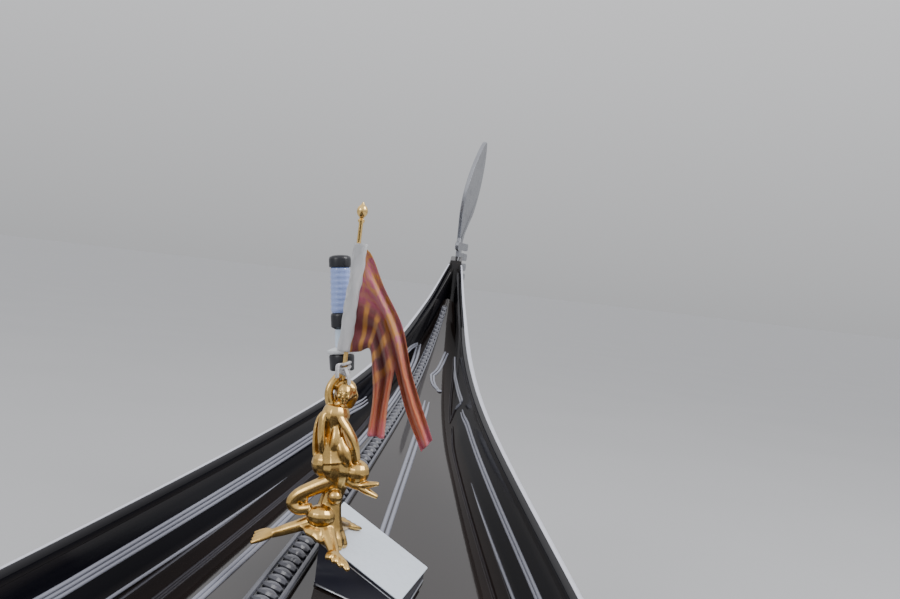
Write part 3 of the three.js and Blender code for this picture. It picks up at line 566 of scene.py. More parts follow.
def printed_silk():
    """Silk in zones: wine and gold stripes low, pink and orange high, red-orange tails."""
    p = Paint("flag_cloth", Sheen_Weight=0.4, Sheen_Roughness=0.35, Roughness=0.66)
    flat = p.node("ShaderNodeAttribute", "Vector", attribute_name="flat")
    fly, hoist = (p.node("ShaderNodeSeparateXYZ", axis, {0: flat}) for axis in "XY")
    warp = p.noise(24.0, 4.0, (1.0, 1.0, 0.5), 0.6)

    def warped(place, share):
        return p.maths("MULTIPLY_ADD", p.maths("SUBTRACT", warp, 0.5), share, place)

    def banded(phase, low, high):
        return p.between(p.maths("SINE", phase), low, high)

    turned = warped(hoist, 0.3)
    stripes = banded(p.times(turned, 58.0), 0.1, 0.7)
    streaks = banded(p.maths("MULTIPLY_ADD", warp, 4.0, p.times(fly, 44.0)), -0.1, 0.7)
    low = p.mix(streaks, (0.2, 0.022, 0.03), (0.6, 0.25, 0.035))
    patches = p.between(p.noise(34.0, 3.0, (1.0, 1.0, 0.6), 0.5, 1.0), 0.48, 0.58)
    high = p.mix(patches, p.mix(stripes, (0.6, 0.13, 0.22), (0.66, 0.24, 0.2)), (0.74, 0.32, 0.06))
    body = p.mix(p.between(turned, 0.44, 0.54), low, high)
    tails = p.mix(stripes, (0.56, 0.1, 0.03), (0.68, 0.2, 0.06))
    drift = warped(fly, 0.4)
    shown = p.mix(p.between(drift, 0.5, 0.66), body, tails)
    p.set(Base_Color=p.mix(p.between(drift, 0.88, 0.95), shown, (0.62, 0.1, 0.16)))
    for direction in ("Z", "Y"):
        p.bump(p.waves(700.0, direction), WEAVE_DEEP)
    return p.material


def moulded(name, colour, rough, grain=0.00006, **plain):
    """Moulded plastic or card: fine grain, handling marks and a little drift in the colour."""
    p = Paint(name, **plain)
    marks = p.between(p.noise(60.0, 6.0, rough=0.7), 0.5, 0.75)
    p.set(Base_Color=p.mix(p.times(marks, 0.3), colour, scaled(colour, 0.7)))
    p.set(Roughness=p.maths("MULTIPLY_ADD", marks, 0.18, rough))
    p.bump(p.noise(900.0, 3.0), grain)
    return p.material


# Lacquers: name, darker and paler colour, roughness, dust, depth of the long waves, shine
LACQUER = lacquer("black_lacquer", (0.0035, 0.0035, 0.005), (0.009, 0.009, 0.013), 0.09)
# A darker, less shiny copy of the black lacquer for the rails and the deck's lining: painted shade, standing
# in for the shade and dark reflections on the inner walls.
PAINTED_SHADE_WALL = lacquer("shaded_wall_coat", (0.0018, 0.0018, 0.003), (0.004, 0.004, 0.007), 0.1, 0.02, 0.0004, 0.2)
DECK_PAINT = lacquer("deck_lacquer", (0.006, 0.0045, 0.004), (0.018, 0.011, 0.009), 0.045, 0.03, 0.0004)
# The beads and carved mouldings are black lacquer painted pale lavender-grey: painted highlights that stand
# in for the sky's reflection on their rounds.
PAINTED_HIGHLIGHT_CARVING = lacquer("painted_highlight_carving_coat", (0.17, 0.175, 0.215), (0.29, 0.3, 0.36), 0.2, 0.06, 0.0002)
# The ridge's bars are black lacquer painted paler lavender-grey: painted highlights on their rounds.
PAINTED_HIGHLIGHT_RIDGE = lacquer("painted_highlight_ridge_coat", (0.07, 0.072, 0.088), (0.15, 0.155, 0.185), 0.16, 0.06, 0.0002)
BOTTOM_PAINT = lacquer("bottom_paint", (0.006, 0.007, 0.008), (0.02, 0.021, 0.02), 0.45, 0.3)
# The figure block's navy is painted shade: the shade and dark reflection under the card.
PAINTED_SHADE_BLOCK = lacquer("shaded_navy_coat", (0.006, 0.008, 0.02), (0.014, 0.018, 0.04), 0.14, 0.2)
# Woods: name, darker and paler colour, how the grain is drawn out, roughness, closeness of the rings
TIMBER = wood("painted_timber", (0.018, 0.01, 0.006), (0.06, 0.032, 0.016), (0.12, 1.0, 1.0), 0.4)
BOARDS = wood("floor_wood", (0.055, 0.028, 0.013), (0.16, 0.085, 0.04), (0.1, 1.0, 1.0), 0.45)
WALNUT = wood("walnut", (0.06, 0.026, 0.012), (0.22, 0.11, 0.05), (1.0, 1.0, 0.14), 0.3)
BEECH = wood("beech", (0.3, 0.17, 0.075), (0.5, 0.31, 0.16), (0.1, 1.0, 1.0), 0.38, 18.0)
# Metals: name, bright and dull colour, roughness, patina, how the scratches are drawn out, their depth
STEEL = metal("polished_steel", (0.36, 0.37, 0.4), (0.2, 0.2, 0.22), 0.3, 0.4, (1.0, 1.0, 0.06), 0.000012)
# A pale metal for the strip along the rail's nose: it stands in for the sky's reflection on the lacquer, a
# painted reflection.
PAINTED_REFLECTION_STRIP = metal("reflection_strip_metal", (0.86, 0.87, 0.95), (0.6, 0.61, 0.68), 0.42, 0.3, (0.06, 1.0, 1.0))
GILT = metal("gilding", (0.68, 0.44, 0.15), (0.26, 0.15, 0.045), 0.24, 0.8, (1.0, 1.0, 1.0), 0.00003)
BRASS = metal("brass", (0.85, 0.58, 0.22), (0.45, 0.28, 0.1), 0.22, 0.5)
# Leathers and cloths: name and colours, then the weave's closeness and its sheen
LEATHER = hide("red_leather", (0.09, 0.006, 0.008), (0.22, 0.018, 0.02))
BLACK_HIDE = hide("black_leather", (0.008, 0.007, 0.008), (0.025, 0.022, 0.022))
TAPE = woven("hoist_tape", ((0.62, 0.63, 0.65), (0.78, 0.78, 0.8), (0.7, 0.7, 0.72)), 600.0, 0.2)
CLOTH = printed_silk()
# Plastics and card: name, colour, roughness, depth of the grain
CARD_STOCK = moulded("card_stock", (0.62, 0.68, 0.76), 0.5, 0.00004)
BLACK_PLASTIC = moulded("black_plastic", (0.012, 0.013, 0.018), 0.32)
BLUE_LENS = moulded("blue_lens", (0.32, 0.42, 0.78), 0.18, 0.00003, Coat_Weight=0.5)
PALE_LENS = moulded("pale_lens", (0.62, 0.74, 0.88), 0.18, 0.00003, Coat_Weight=0.5)
WHITE_PLASTIC = moulded("white_plastic", (0.72, 0.75, 0.78), 0.35)


def dress(node, material, ease_by, segments=2):
    """Gives a CAD node that stays its material and eased edges."""
    obj = frame["nodes"][node]
    obj.data.materials.clear()
    obj.data.materials.append(material)
    soft = obj.modifiers.new("eased", "BEVEL")
    soft.width, soft.segments, soft.limit_method = ease_by, segments, "ANGLE"
    soft.angle_limit = math.radians(28)
    obj.modifiers.new("shading", "WEIGHTED_NORMAL").keep_sharp = True


# Hull shell
# The topsides' plank seams: shares of their height, half width, depth and how clear of them other points stay
SEAMS = (0.3, 0.62)
SEAM_HALF, SEAM_DEEP, SEAM_CLEAR = 0.004, 0.0012, 0.03


def seam_levels():
    """Shares of the topsides' height with the depth of the surface there."""
    levels = [(t, 0.0) for t in spread(0, 1, 12) if all(abs(t - s) > SEAM_CLEAR for s in SEAMS)]
    for s in SEAMS:
        levels += [(s - SEAM_HALF, 0.0), (s, SEAM_DEEP), (s + SEAM_HALF, 0.0)]
    return sorted(levels)


def planking(side):
    sections = []
    for x in stations(PLANKS_AFT, PLANKS_FORE, 0.045):
        low, high = low_edge(x), plank_top(x)
        outer = [(x, outer_y(side, x, t) - side * deep, low + (high - low) * t) for t, deep in seam_levels()]
        inner = [(x, outer_y(side, x, t) - side * PLANK, low + (high - low) * t) for t in spread(1, 0, 8)]
        sections.append(outer + inner)
    return skin(sections)


# The pale strip, a painted reflection of the sky along the rail's lacquered nose: half its thickness, how far
# it goes inboard of the nose, its ends
STRIP_HALF, STRIP_INBOARD, STRIP_ENDS = 0.0006, 0.004, (-5.33, 5.28)
# The rail's section: its nose and the height where that starts, its breadth beside the cockpit, how much
# slimmer it gets along each deck, where that starts and over what length
NOSE, NOSE_LOW, RAIL_BROAD, FORE_SLIMMER, AFT_SLIMMER = 0.012, 0.01, 0.05, 0.02, 0.012
SLIM_FROM, SLIM_RUN = 1.95, 0.3
# The rail's least size at the boat's ends, as a share, and its gap to the boat's middle plane there
RAIL_LEAST, RAIL_APART = 0.45, 0.0004


def rail_nose(side, x):
    """The rail's outer edge, its size as a share, the breadth there is for it and its nose's radius."""
    share = min(1.0, RAIL_LEAST + 4 * sheer_share(x))
    out = sheer_y(side, x) + side * RAIL_PROUD * share
    limit = abs(sheer_y(side, x) + BIAS) + RAIL_PROUD * share - RAIL_APART
    return out, share, limit, min(NOSE * share, limit / 2)


def nose_arc(nose, start, count):
    angles = spread(start, math.pi / 2, count)
    return [(nose - nose * math.cos(a), NOSE_LOW + NOSE * math.sin(a)) for a in angles]


def along_rail(side, low, high, ring_at):
    """Faces along a rail; ring_at(x) gives its outer edge and its section's points, inboard and up."""
    sections = []
    for x in stations(low, high, 0.03):
        out, ring = ring_at(x)
        sections.append([(x, out - side * inboard, sheer(x) - RAIL_HEIGHT + up) for inboard, up in ring])
    return skin(sections)


def rail(side):
    """A rounded capping, broad beside the cockpit and slim along the decks."""
    def ring_at(x):
        out, share, limit, nose = rail_nose(side, x)
        fore, aft = (ease((way * x - SLIM_FROM) / SLIM_RUN) for way in (1, -1))
        wide = min((RAIL_BROAD - FORE_SLIMMER * fore - AFT_SLIMMER * aft) * share, limit)
        crown = [(wide - 0.5 * nose, 0.0205), (wide - 0.15 * nose, 0.016), (wide, 0.009), (wide, 0.0)]
        return out, [(0.0, 0.0), (0.0, 0.008)] + nose_arc(nose, 0.15, 6) + crown

    return along_rail(side, PLANKS_AFT, PLANKS_FORE, ring_at)


def rail_reflection_strip(side):
    """The pale strip round the rail's outer nose and over its crest, as a thin shell: a painted reflection of
    the sky on the lacquered rail.
    """
    def ring_at(x):
        out, share, _, nose = rail_nose(side, x)
        top = nose_arc(nose, 0.3, 8) + [(nose + STRIP_INBOARD * share, NOSE_LOW + NOSE)]
        return out, [(a, b + STRIP_HALF) for a, b in top] + [(a, b - STRIP_HALF) for a, b in reversed(top)]

    return along_rail(side, *STRIP_ENDS, ring_at)


def bottom():
    sections = []
    for x in stations(BOTTOM_STERN, BOTTOM_BOW, 0.06):
        y0, y1, z = bottom_y(STARBOARD, x), bottom_y(PORT, x), keel(x)
        sections.append([(x, y0, z), (x, y1, z), (x, y1, z + BOTTOM_THICK), (x, y0, z + BOTTOM_THICK)])
    return skin(sections)


def post(edge, head_x, head_top, depths, way):
    """The stem or stern post, outside the planks' ends."""
    curve = table_curve(sorted(edge))
    inner = [(x, curve(x)) for x in spread(edge[0][0], edge[-1][0], 40)]
    outer = []
    for i, (x, z) in enumerate(inner):
        a, b = inner[max(i - 1, 0)], inner[min(i + 1, len(inner) - 1)]
        run = Vector((b[0] - a[0], b[1] - a[1])).normalized()
        depth = depths[0] + (depths[1] - depths[0]) * i / (len(inner) - 1)
        outer.append((x + way * abs(run.y) * depth, z - abs(run.x) * depth))
    inner.append((head_x, head_top))
    outer.append((head_x + way * depths[1], head_top + HEAD_RISE))
    return inner, outer


# The posts' heads stand a little higher outside than inside
HEAD_RISE = 0.018
STEM = post(STEM_EDGE, 5.292, 1.352, (0.025, 0.052), 1)
STERN = post(STERN_EDGE[::-1], -5.352, 1.698, (0.025, 0.048), -1)


def upright(a, b, c):
    """A point of a plate that stands in the boat's middle plane."""
    return Vector((a, c - BIAS, b))


PARTS = ("aft", "middle", "fore")
for side_name, side in SIDES:
    nodes = [f"hull_side_{side_name}_{part}" for part in PARTS]
    piece(f"planking_{side_name}", planking(side), LACQUER, replaces=nodes)
    piece(f"gunwale_{side_name}", rail(side), PAINTED_SHADE_WALL,
          replaces=[f"gunwale_rail_{side_name}"])
    piece(f"gunwale_reflection_strip_{side_name}", rail_reflection_strip(side), PAINTED_REFLECTION_STRIP)
nodes = [f"hull_bottom_{part}" for part in PARTS]
piece("bottom_planks", bottom(), BOTTOM_PAINT, replaces=nodes)
for post_name, (inner, outer) in (("stem_post", STEM), ("stern_post", STERN)):
    shape = plate(inner + outer[::-1], POST_HALF, 0.005, upright)
    piece(f"{post_name}_wood", shape, LACQUER, replaces=[post_name])

# Half-round strips along the topsides: depth under the rail, radius; and where they run
SIDE_STRIPS = ((0.012, 0.005), (0.085, 0.0045), (0.1, 0.006))
SIDE_STRIPS_RUN = (-5.1, 5.05)


def side_strip(side, drop, radius):
    path = [(x, outer_y(side, x, 1 - drop / (plank_top(x) - low_edge(x))), plank_top(x) - drop)
            for x in stations(*SIDE_STRIPS_RUN)]
    return tube(path, faded(radius, 12), 10)


for side_name, side in SIDES:
    strips = [side_strip(side, drop, radius) for drop, radius in SIDE_STRIPS]
    piece(f"side_mouldings_{side_name}", merged(strips), LACQUER)

# Decks: points across each
ACROSS = 37
# The carved ridge: its ends, where its bars and its edge beads run, the distance from bar to bar
RIDGE_AFT, RIDGE_FORE, BARS_RUN, EDGES_RUN, BAR_PITCH = 2.004, 5.1, (2.02, 5.07), (2.006, 5.09), 0.03
# A bar's slant and radius as shares of that distance, its reach as a share of the half width
BAR_SLANT, BAR_RADIUS, BAR_REACH = 0.36, 0.34, 0.56


def deck_panel(deck, low, high):
    sections = []
    for x in stations(low, high, 0.04):
        top = [deck.at(x, u) for u in spread(-1, 1, ACROSS)]
        under = [deck.at(x, u, -DECK_THICK) for u in spread(1, -1, ACROSS)]
        sections.append(top + under)
    return skin(sections)


piece("foredeck_panel", deck_panel(FORE, *FOREDECK), DECK_PAINT, replaces=["foredeck"])
piece("aft_deck_panel", deck_panel(AFT, *AFTDECK), DECK_PAINT, replaces=["aft_deck"])

ridge_half, ridge_high = table_curve(RIDGE_ROWS, 1), table_curve(RIDGE_ROWS, 2)


def crest(x, aside, lift):
    p = FORE.at(x, 0)
    return Vector((x, p.y + aside, p.z + lift))


def ridge_batten():
    """The ridge's bed, sunk between its two edges."""
    half_ring = [(1, 0.0), (1, 0.35), (0.8, 0.42), (0.62, 0.3), (0.45, 0.3)]
    ring = [(-a, h) for a, h in half_ring] + [(0, 0.45)] + half_ring[::-1]
    return skin([[crest(x, a * ridge_half(x), 0.001 + h * ridge_high(x)) for a, h in ring]
                 for x in stations(RIDGE_AFT, RIDGE_FORE, 0.03)])


def carved_ridge():
    """Slanting rounded bars between two beads, like a twisted rope with dark gaps."""
    parts = []
    radius = BAR_RADIUS * BAR_PITCH
    for x in stations(*BARS_RUN, BAR_PITCH):
        half, high = ridge_half(x), ridge_high(x)
        line = [crest(x + BAR_SLANT * BAR_PITCH * t, BAR_REACH * half * t, high * (0.6 - 0.16 * t * t))
                for t in spread(-1, 1, 7)]
        parts.append(tube(line, lambda s: radius * (0.45 + 0.55 * math.sin(math.pi * s)), 8, 0.8))
    long, places = RIDGE_FORE - RIDGE_AFT, stations(*EDGES_RUN, 0.03)
    for way in (-1, 1):
        edge = [crest(x, way * ridge_half(x) * 0.82, ridge_high(x) * 0.42) for x in places]
        parts.append(tube(edge, lambda s: 0.13 * ridge_half(RIDGE_AFT + s * long) + 0.001, 8))
    return merged(parts)


piece("ridge_batten", ridge_batten(), LACQUER, replaces=["foredeck_ridge"])
# The bars are painted paler than the black bed as painted highlights.
piece("ridge_carving", carved_ridge(), PAINTED_HIGHLIGHT_RIDGE)


def bead_pair(path_at, low, high):
    """Two half-round beads side by side; path_at(x, aside) gives a point of the surface."""
    lines = [[path_at(x, way * PAIR_GAP / 2) for x in stations(low, high, 0.03)] for way in (-1, 1)]
    return [tube(line, faded(PAIR_RADIUS, 25, 0.55)) for line in lines]


# The bead pairs on the deck: x, distance from the crest
PAIR_PORT = [(2.02, 0.235), (2.98, 0.136), (3.55, 0.078), (3.82, 0.056), (4.29, 0.036), (4.64, 0.034),
             (4.82, 0.046)]
PAIR_STARBOARD = [(2.02, 0.25), (3.32, 0.143), (3.75, 0.107), (4.34, 0.061)]
PAIR_GAP, PAIR_RADIUS = 0.0125, 0.0052
pair_port, pair_starboard = table_curve(PAIR_PORT), table_curve(PAIR_STARBOARD)

pairs = bead_pair(lambda x, aside: FORE.off(x, pair_port(x) + aside), PAIR_PORT[0][0], PAIR_PORT[-1][0])
pairs += bead_pair(lambda x, aside: FORE.off(x, aside - pair_starboard(x)), PAIR_STARBOARD[0][0],
                   PAIR_STARBOARD[-1][0])
piece("deck_bead_pairs", merged(pairs), PAINTED_HIGHLIGHT_CARVING)

# The lining between the rail and the deck's edge: its ends, its gap to the planks, its thickness, its
# foot's height over the deck's edge and its top's depth under the rail
LINING, LINING_GAP, LINING_THICK, FOOT_OVER, TOP_UNDER = (2.01, 5.08), 0.004, 0.008, 0.002, 0.001
# It leans inboard by this much at its foot, or by this share of the starboard half where the boat is narrow
LINING_LEAN, LEAN_SHARE = 0.062, 0.36
# The wall moulding: depth under the rail's top, distance from bead to bead, and the radius of the beads here
WALL_DEPTH, WALL_PITCH, BEAD = 0.078, 0.0085, 0.0036
# It rises towards the bow from here to the stem, and bends down over a short run at its fore end
WALL_RISE_FROM, WALL_RISE_TO, WALL_BEND, BEND_RUN, BEND_DROP = 3.1, 5.3, 4.18, 0.14, 0.14
# Where the wall's beads run, how many there are and their radius; the bead at the lining's foot: where it
# runs, how far down the lining and how proud of it
WALL_RUN, WALL_BEADS, WALL_BEAD = (2.02, 4.32), {PORT: 3, STARBOARD: 2}, 0.0042
FOOT_RUN, FOOT_SHARE, FOOT_PROUD = (2.02, 4.4), 0.955, 0.0015


def lining_point(side, x, share, out=0.0):
    """A point of the lining's inboard face, share of the way down from the rail to the deck."""
    foot, top = FORE.edge(x) + FOOT_OVER, plank_top(x) - TOP_UNDER
    inset, least = min(LINING_LEAN, LEAN_SHARE * abs(sheer_y(STARBOARD, x) + BIAS)), PLANK + LINING_GAP
    if inset > least:
        inset = least + (inset - least) * share
    return Vector((x, sheer_y(side, x) - side * (inset + out), top + (foot - top) * share))


def lining(side):
    sections = []
    for x in stations(*LINING, 0.04):
        face = [lining_point(side, x, s) for s in spread(0, 1, 6)]
        back = [lining_point(side, x, s, -LINING_THICK) for s in spread(1, 0, 6)]
        sections.append(face + back)
    return skin(sections)


def wall_depth(x):
    """How far down the lining the wall moulding runs, in metres under the rail's top."""
    return WALL_DEPTH * (0.5 + 0.5 * min(1.0, (WALL_RISE_TO - x) / (WALL_RISE_TO - WALL_RISE_FROM)))


def wall_beads(side):
    """Beads side by side along the wall, which bend down at the bow."""
    def share_at(x, shift):
        share = (wall_depth(x) - RAIL_HEIGHT + shift) / (plank_top(x) - FORE.edge(x))
        return clamp(share + BEND_DROP * ease((x - WALL_BEND) / BEND_RUN), 0.05, 0.95)

    parts = []
    count = WALL_BEADS[side]
    for k in range(count):
        shift = (k - (count - 1) / 2) * WALL_PITCH
        line = [lining_point(side, x, share_at(x, shift)) for x in stations(*WALL_RUN, 0.03)]
        parts.append(tube(line, faded(WALL_BEAD, 25)))
    return parts


# Pointed frames at the bow: x, share of the way down the wall
FRAME_WALL = {
    STARBOARD: [(4.77, 0.99), (4.65, 0.9), (4.47, 0.6), (4.38, 0.48), (4.375, 0.55), (4.385, 0.7),
                (4.4, 0.88)],
    PORT: [(4.84, 0.99), (4.75, 0.58), (4.62, 0.47), (4.5, 0.46), (4.4, 0.47)],
}
# The starboard frame's other branch lies on the deck and ends in a small hook: x, distance from the crest
HOOK = [(4.77, -0.057), (4.66, -0.054), (4.6, -0.05), (4.556, -0.042), (4.545, -0.043), (4.51, -0.05),
        (4.48, -0.062), (4.46, -0.079)]
FRAME_GAP = 0.0045

for side_name, side in SIDES:
    piece(f"deck_lining_{side_name}", lining(side), PAINTED_SHADE_WALL)
    foot_line = [lining_point(side, x, FOOT_SHARE, FOOT_PROUD) for x in stations(*FOOT_RUN, 0.03)]
    mouldings = [tube(foot_line, BEAD, 8), *wall_beads(side)]
    for way in (-1, 1):
        line = []
        for x, share in FRAME_WALL[side]:
            share += way * FRAME_GAP / (plank_top(x) - FORE.edge(x))
            line.append(lining_point(side, x, min(share, 1.0)))
        mouldings.append(tube(smooth_line(line, 50), BEAD, 8))
    piece(f"lining_mouldings_{side_name}", merged(mouldings), PAINTED_HIGHLIGHT_CARVING)

frames_made = [ball(FORE.off(*HOOK[-1]), (0.009, 0.009, 0.005))]
for way in (-1, 1):
    line = smooth_line([FORE.off(x, aside + way * FRAME_GAP) for x, aside in HOOK], 60)
    frames_made.append(tube(line, lambda s: BEAD * (0.5 + 0.5 * ease((1 - s) * 8)), 8))
piece("bow_carving", merged(frames_made), PAINTED_HIGHLIGHT_CARVING)

# The aft deck's bead pairs: x, place as a share of the half width; the gap in a pair; the middle bead
AFT_PAIR = [(-5.1, 0.5), (-4.0, 0.42), (-3.0, 0.4), (-1.92, 0.4)]
AFT_GAP, AFT_MIDDLE_RUN, AFT_MIDDLE_RADIUS = 0.013, (-5.1, -3.0), 0.009


def aft_carving():
    """A pair of beads on each side and a broad one along the middle."""
    share, places = table_curve(AFT_PAIR), stations(AFT_PAIR[0][0], AFT_PAIR[-1][0])
    parts = []
    for way in (-1, 1):
        for gap in (-AFT_GAP / 2, AFT_GAP / 2):
            parts.append(tube([AFT.at(x, way * share(x)) + Vector((0, gap, 0)) for x in places], PAIR_RADIUS))
    middle = [AFT.at(x, 0, 0.002) for x in stations(*AFT_MIDDLE_RUN)]
    parts.append(tube(middle, AFT_MIDDLE_RADIUS, flat=0.7))
    return merged(parts)


piece("aft_deck_beads", aft_carving(), PAINTED_HIGHLIGHT_CARVING)

# Irons

# The blade's half thickness, the height of its bend, its lean and its turn to starboard per metre, and how
# far above the bend the turn is complete
IRON_HALF, IRON_BEND, IRON_LEAN, IRON_TURN, TURN_OVER = 0.007, 1.425, 0.09, 0.18, 0.02
# Its depth in front of the stem: share of the way up, depth
IRON_DEPTH = [(0, 0.012), (0.3, 0.028), (0.6, 0.036), (1, 0.04)]
STEM_FRONT, STEM_TOP = STEM[1][-1]
# Outlines from the stem's front: the comb's teeth, the head's curve, the tooth that points aft
TEETH, TOOTH_LOW, TOOTH_PITCH = 6, 1.202, 0.04
TOOTH = [(0.04, 0.0), (0.045, -0.0015), (0.14, -0.003), (0.148, 0.0), (0.1505, 0.0125), (0.148, 0.025),
         (0.14, 0.0275), (0.045, 0.0262), (0.04, 0.0245)]
IRON_HEAD = [
    (0.04, 1.442), (0.05, 1.468), (0.078, 1.503), (0.118, 1.545), (0.142, 1.6), (0.156, 1.67), (0.151, 1.748),
    (0.128, 1.812), (0.096, 1.8415), (0.04, 1.8), (-0.028, 1.712), (-0.064, 1.622), (-0.06, 1.545),
    (-0.036, 1.488), (-0.014, 1.442)]
AFT_TOOTH = [(-0.016, 1.428), (-0.1, 1.4245), (-0.108, 1.421), (-0.1115, 1.409), (-0.108, 1.397),
             (-0.1, 1.394), (0.0, 1.392)]


def iron_place(a, b, c):
    """The blade leans to starboard over the bend and stands turned with the comb."""
    above, ahead = max(0.0, b - IRON_BEND), a - STEM_FRONT
    turned = ahead if ahead > 0 else ahead * ease(above / TURN_OVER)
    return Vector((a, c - BIAS - above * IRON_LEAN - turned * IRON_TURN, b))


def bow_iron():
    seat = [(x + 0.0008, z - 0.0008) for x, z in STEM[1][4:]]
    seat[-1] = (seat[-1][0], STEM_TOP)
    grow = table_curve(IRON_DEPTH)
    face = [(x + grow(i / len(seat)), z - grow(i / len(seat)) * 0.5) for i, (x, z) in enumerate(seat[:-1])]
    comb = [(a, b + TOOTH_LOW + TOOTH_PITCH * i) for i in range(TEETH) for a, b in TOOTH]
    head = flat_line(IRON_HEAD, 70)
    blade = [(STEM_FRONT + a, b) for a, b in comb + head + AFT_TOOTH]
    return plate(face + blade + seat[::-1], IRON_HALF, 0.0022, iron_place)


piece("bow_iron_blade", bow_iron(), STEEL, replaces=["bow_iron"], sharp=30)


# The stern iron's outline from the head of the post
STERN_STRAP = [
    (-0.0008, -0.2), (-0.02, -0.2), (-0.026, -0.195), (-0.034, -0.14), (-0.04, -0.08), (-0.043, -0.02),
    (-0.046, 0.03), (-0.054, 0.056), (-0.068, 0.076), (-0.096, 0.088), (-0.1, 0.098), (-0.096, 0.112),
    (-0.088, 0.116), (-0.062, 0.116), (-0.04, 0.11), (-0.016, 0.094), (0.004, 0.07), (0.014, 0.04),
    (0.018, 0.0016), (0.0, 0.0009)]


def stern_iron():
    x, z = STERN[1][-1]
    return plate([(x + a, z + b) for a, b in STERN_STRAP], IRON_HALF, 0.002, upright)


piece("stern_iron_strap", stern_iron(), STEEL, replaces=["stern_iron"], sharp=30)

# The gilt ornament on the foredeck

staff_low, staff_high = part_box("flag_staff")
STAFF = Vector(((staff_low.x + staff_high.x) / 2, (staff_low.y + staff_high.y) / 2, staff_low.z))
# Where the figure stands, how it is drawn out upwards, moved to port and filled out
FIGURE = Vector((3.19, -0.05, 0.753))
FIGURE_TALL, FIGURE_ASIDE, LIMB_FULL = 0.95, 0.018, 1.15
SLOPE_ACROSS, SLOPE_ALONG, SLOPE_X = 0.42, 0.1, 3.2


def figure_at(x, y, z):
    return FIGURE + Vector((x, y + FIGURE_ASIDE, z * FIGURE_TALL))


def slope_top(x, y, lift=0.0):
    """The sloping top of the figure's block."""
    return Vector((x, y, FIGURE.z + SLOPE_ACROSS * (y - FIGURE.y) + SLOPE_ALONG * (x - SLOPE_X) + lift))


def on_slope(x, y, lift):
    """A point over the card, from the figure's own x and y."""
    return slope_top(FIGURE.x + x, FIGURE.y + FIGURE_ASIDE + y, lift)


def limb(points, radii, flat=1.0, sides=14, count=28):
    """A limb of the figure, from the figure's own coordinates."""
    return tapered([figure_at(*p) for p in points], [r * LIMB_FULL for r in radii], flat, sides, count)


def slope_limb(points, radii, flat=0.8):
    """A limb that lies along the card; points are the figure's own x and y with the height over the card."""
    return tapered([on_slope(*p) for p in points], radii, flat, 14, 26)


# The ribbed shell under the figure, whose rim lies along the slope: radius, height
SHELL_ROWS = [(0.045, 0.0025), (0.048, 0.009), (0.044, 0.017), (0.036, 0.026), (0.029, 0.04)]
SHELL_RIBS, SHELL_HIGH, RIB_DEEP, SHELL_SHIFT = 12, 0.04, 0.06, 0.004


def foot_shell():
    sections = []
    for radius, height in SHELL_ROWS:
        ring = []
        flat = ease(height / SHELL_HIGH)
        for a in turns(48):
            r = radius * (1 + RIB_DEEP * math.cos(SHELL_RIBS * a) * (1 - height / SHELL_HIGH))
            low = on_slope(r * math.cos(a), SHELL_SHIFT + r * math.sin(a), height)
            level = FIGURE.z + SHELL_SHIFT + height
            ring.append(Vector((low.x, low.y, low.z * (1 - flat) + level * flat)))
        sections.append(ring)
    return skin(sections)


# Single limbs of the figure: points from its foot, radii, flatness
FIGURE_LIMBS = [
    ([(0, -0.008, 0.29), (0, -0.004, 0.275), (0, 0.003, 0.26)], [0.0085, 0.0085, 0.012], 1.0),
    ([(0, 0.003, 0.268), (0, 0.004, 0.25), (0, 0.002, 0.222), (0, -0.004, 0.19), (0, -0.01, 0.16)],
     [0.017, 0.023, 0.0185, 0.025, 0.032], 1.1),
    ([(0.0, 0.012, 0.262), (-0.002, 0.021, 0.284), (0.0, 0.02, 0.305), (0.008, 0.009, 0.326),
      (0.01, 0.001, 0.338)], [0.009, 0.0075, 0.0065, 0.006, 0.005], 1.0),
    ([(-0.006, 0.01, 0.266), (-0.015, 0.024, 0.249), (-0.02, 0.025, 0.223), (-0.021, 0.0225, 0.198),
      (-0.014, 0.019, 0.172)], [0.007, 0.0085, 0.0085, 0.0085, 0.007], 0.6),
    ([(0.002, 0.014, 0.262), (0.008, 0.033, 0.24), (0.004, 0.037, 0.205), (-0.002, 0.033, 0.165)],
     [0.006, 0.0095, 0.01, 0.008], 0.5),
    ([(-0.01, 0.002, 0.268), (-0.018, -0.009, 0.247), (-0.022, -0.026, 0.225), (-0.021, -0.04, 0.2),
      (-0.014, -0.047, 0.168)], [0.007, 0.009, 0.009, 0.0085, 0.007], 0.6),
    ([(-0.014, -0.002, 0.236), (-0.024, -0.005, 0.212), (-0.026, -0.005, 0.19), (-0.018, -0.004, 0.17)],
     [0.006, 0.0085, 0.009, 0.006], 0.8),
    ([(-0.014, -0.008, 0.222), (-0.024, -0.017, 0.196), (-0.028, -0.025, 0.18), (-0.02, -0.031, 0.158)],
     [0.006, 0.01, 0.012, 0.009], 0.8),
    ([(0, -0.012, 0.138), (-0.01, -0.004, 0.122), (-0.014, 0.022, 0.107), (-0.016, 0.052, 0.088),
      (-0.016, 0.064, 0.07), (-0.018, 0.05, 0.06), (-0.022, 0.026, 0.066)],
     [0.018, 0.014, 0.0125, 0.0115, 0.0105, 0.01, 0.0085], 1.0),
    ([(-0.004, -0.03, 0.128), (-0.012, -0.05, 0.12), (-0.014, -0.066, 0.118)], [0.014, 0.0105, 0.0065], 0.8),
    ([(0, -0.01, 0.165), (0, -0.011, 0.14), (0, -0.01, 0.11), (0, -0.004, 0.075), (0, 0.0, 0.03)],
     [0.03, 0.031, 0.019, 0.019, 0.03], 1.0),
    ([(-0.006, 0.008, 0.048), (-0.014, 0.035, 0.033), (-0.016, 0.071, 0.0165), (-0.016, 0.1, 0.003)],
     [0.017, 0.0125, 0.0105, 0.0075], 0.85),
]
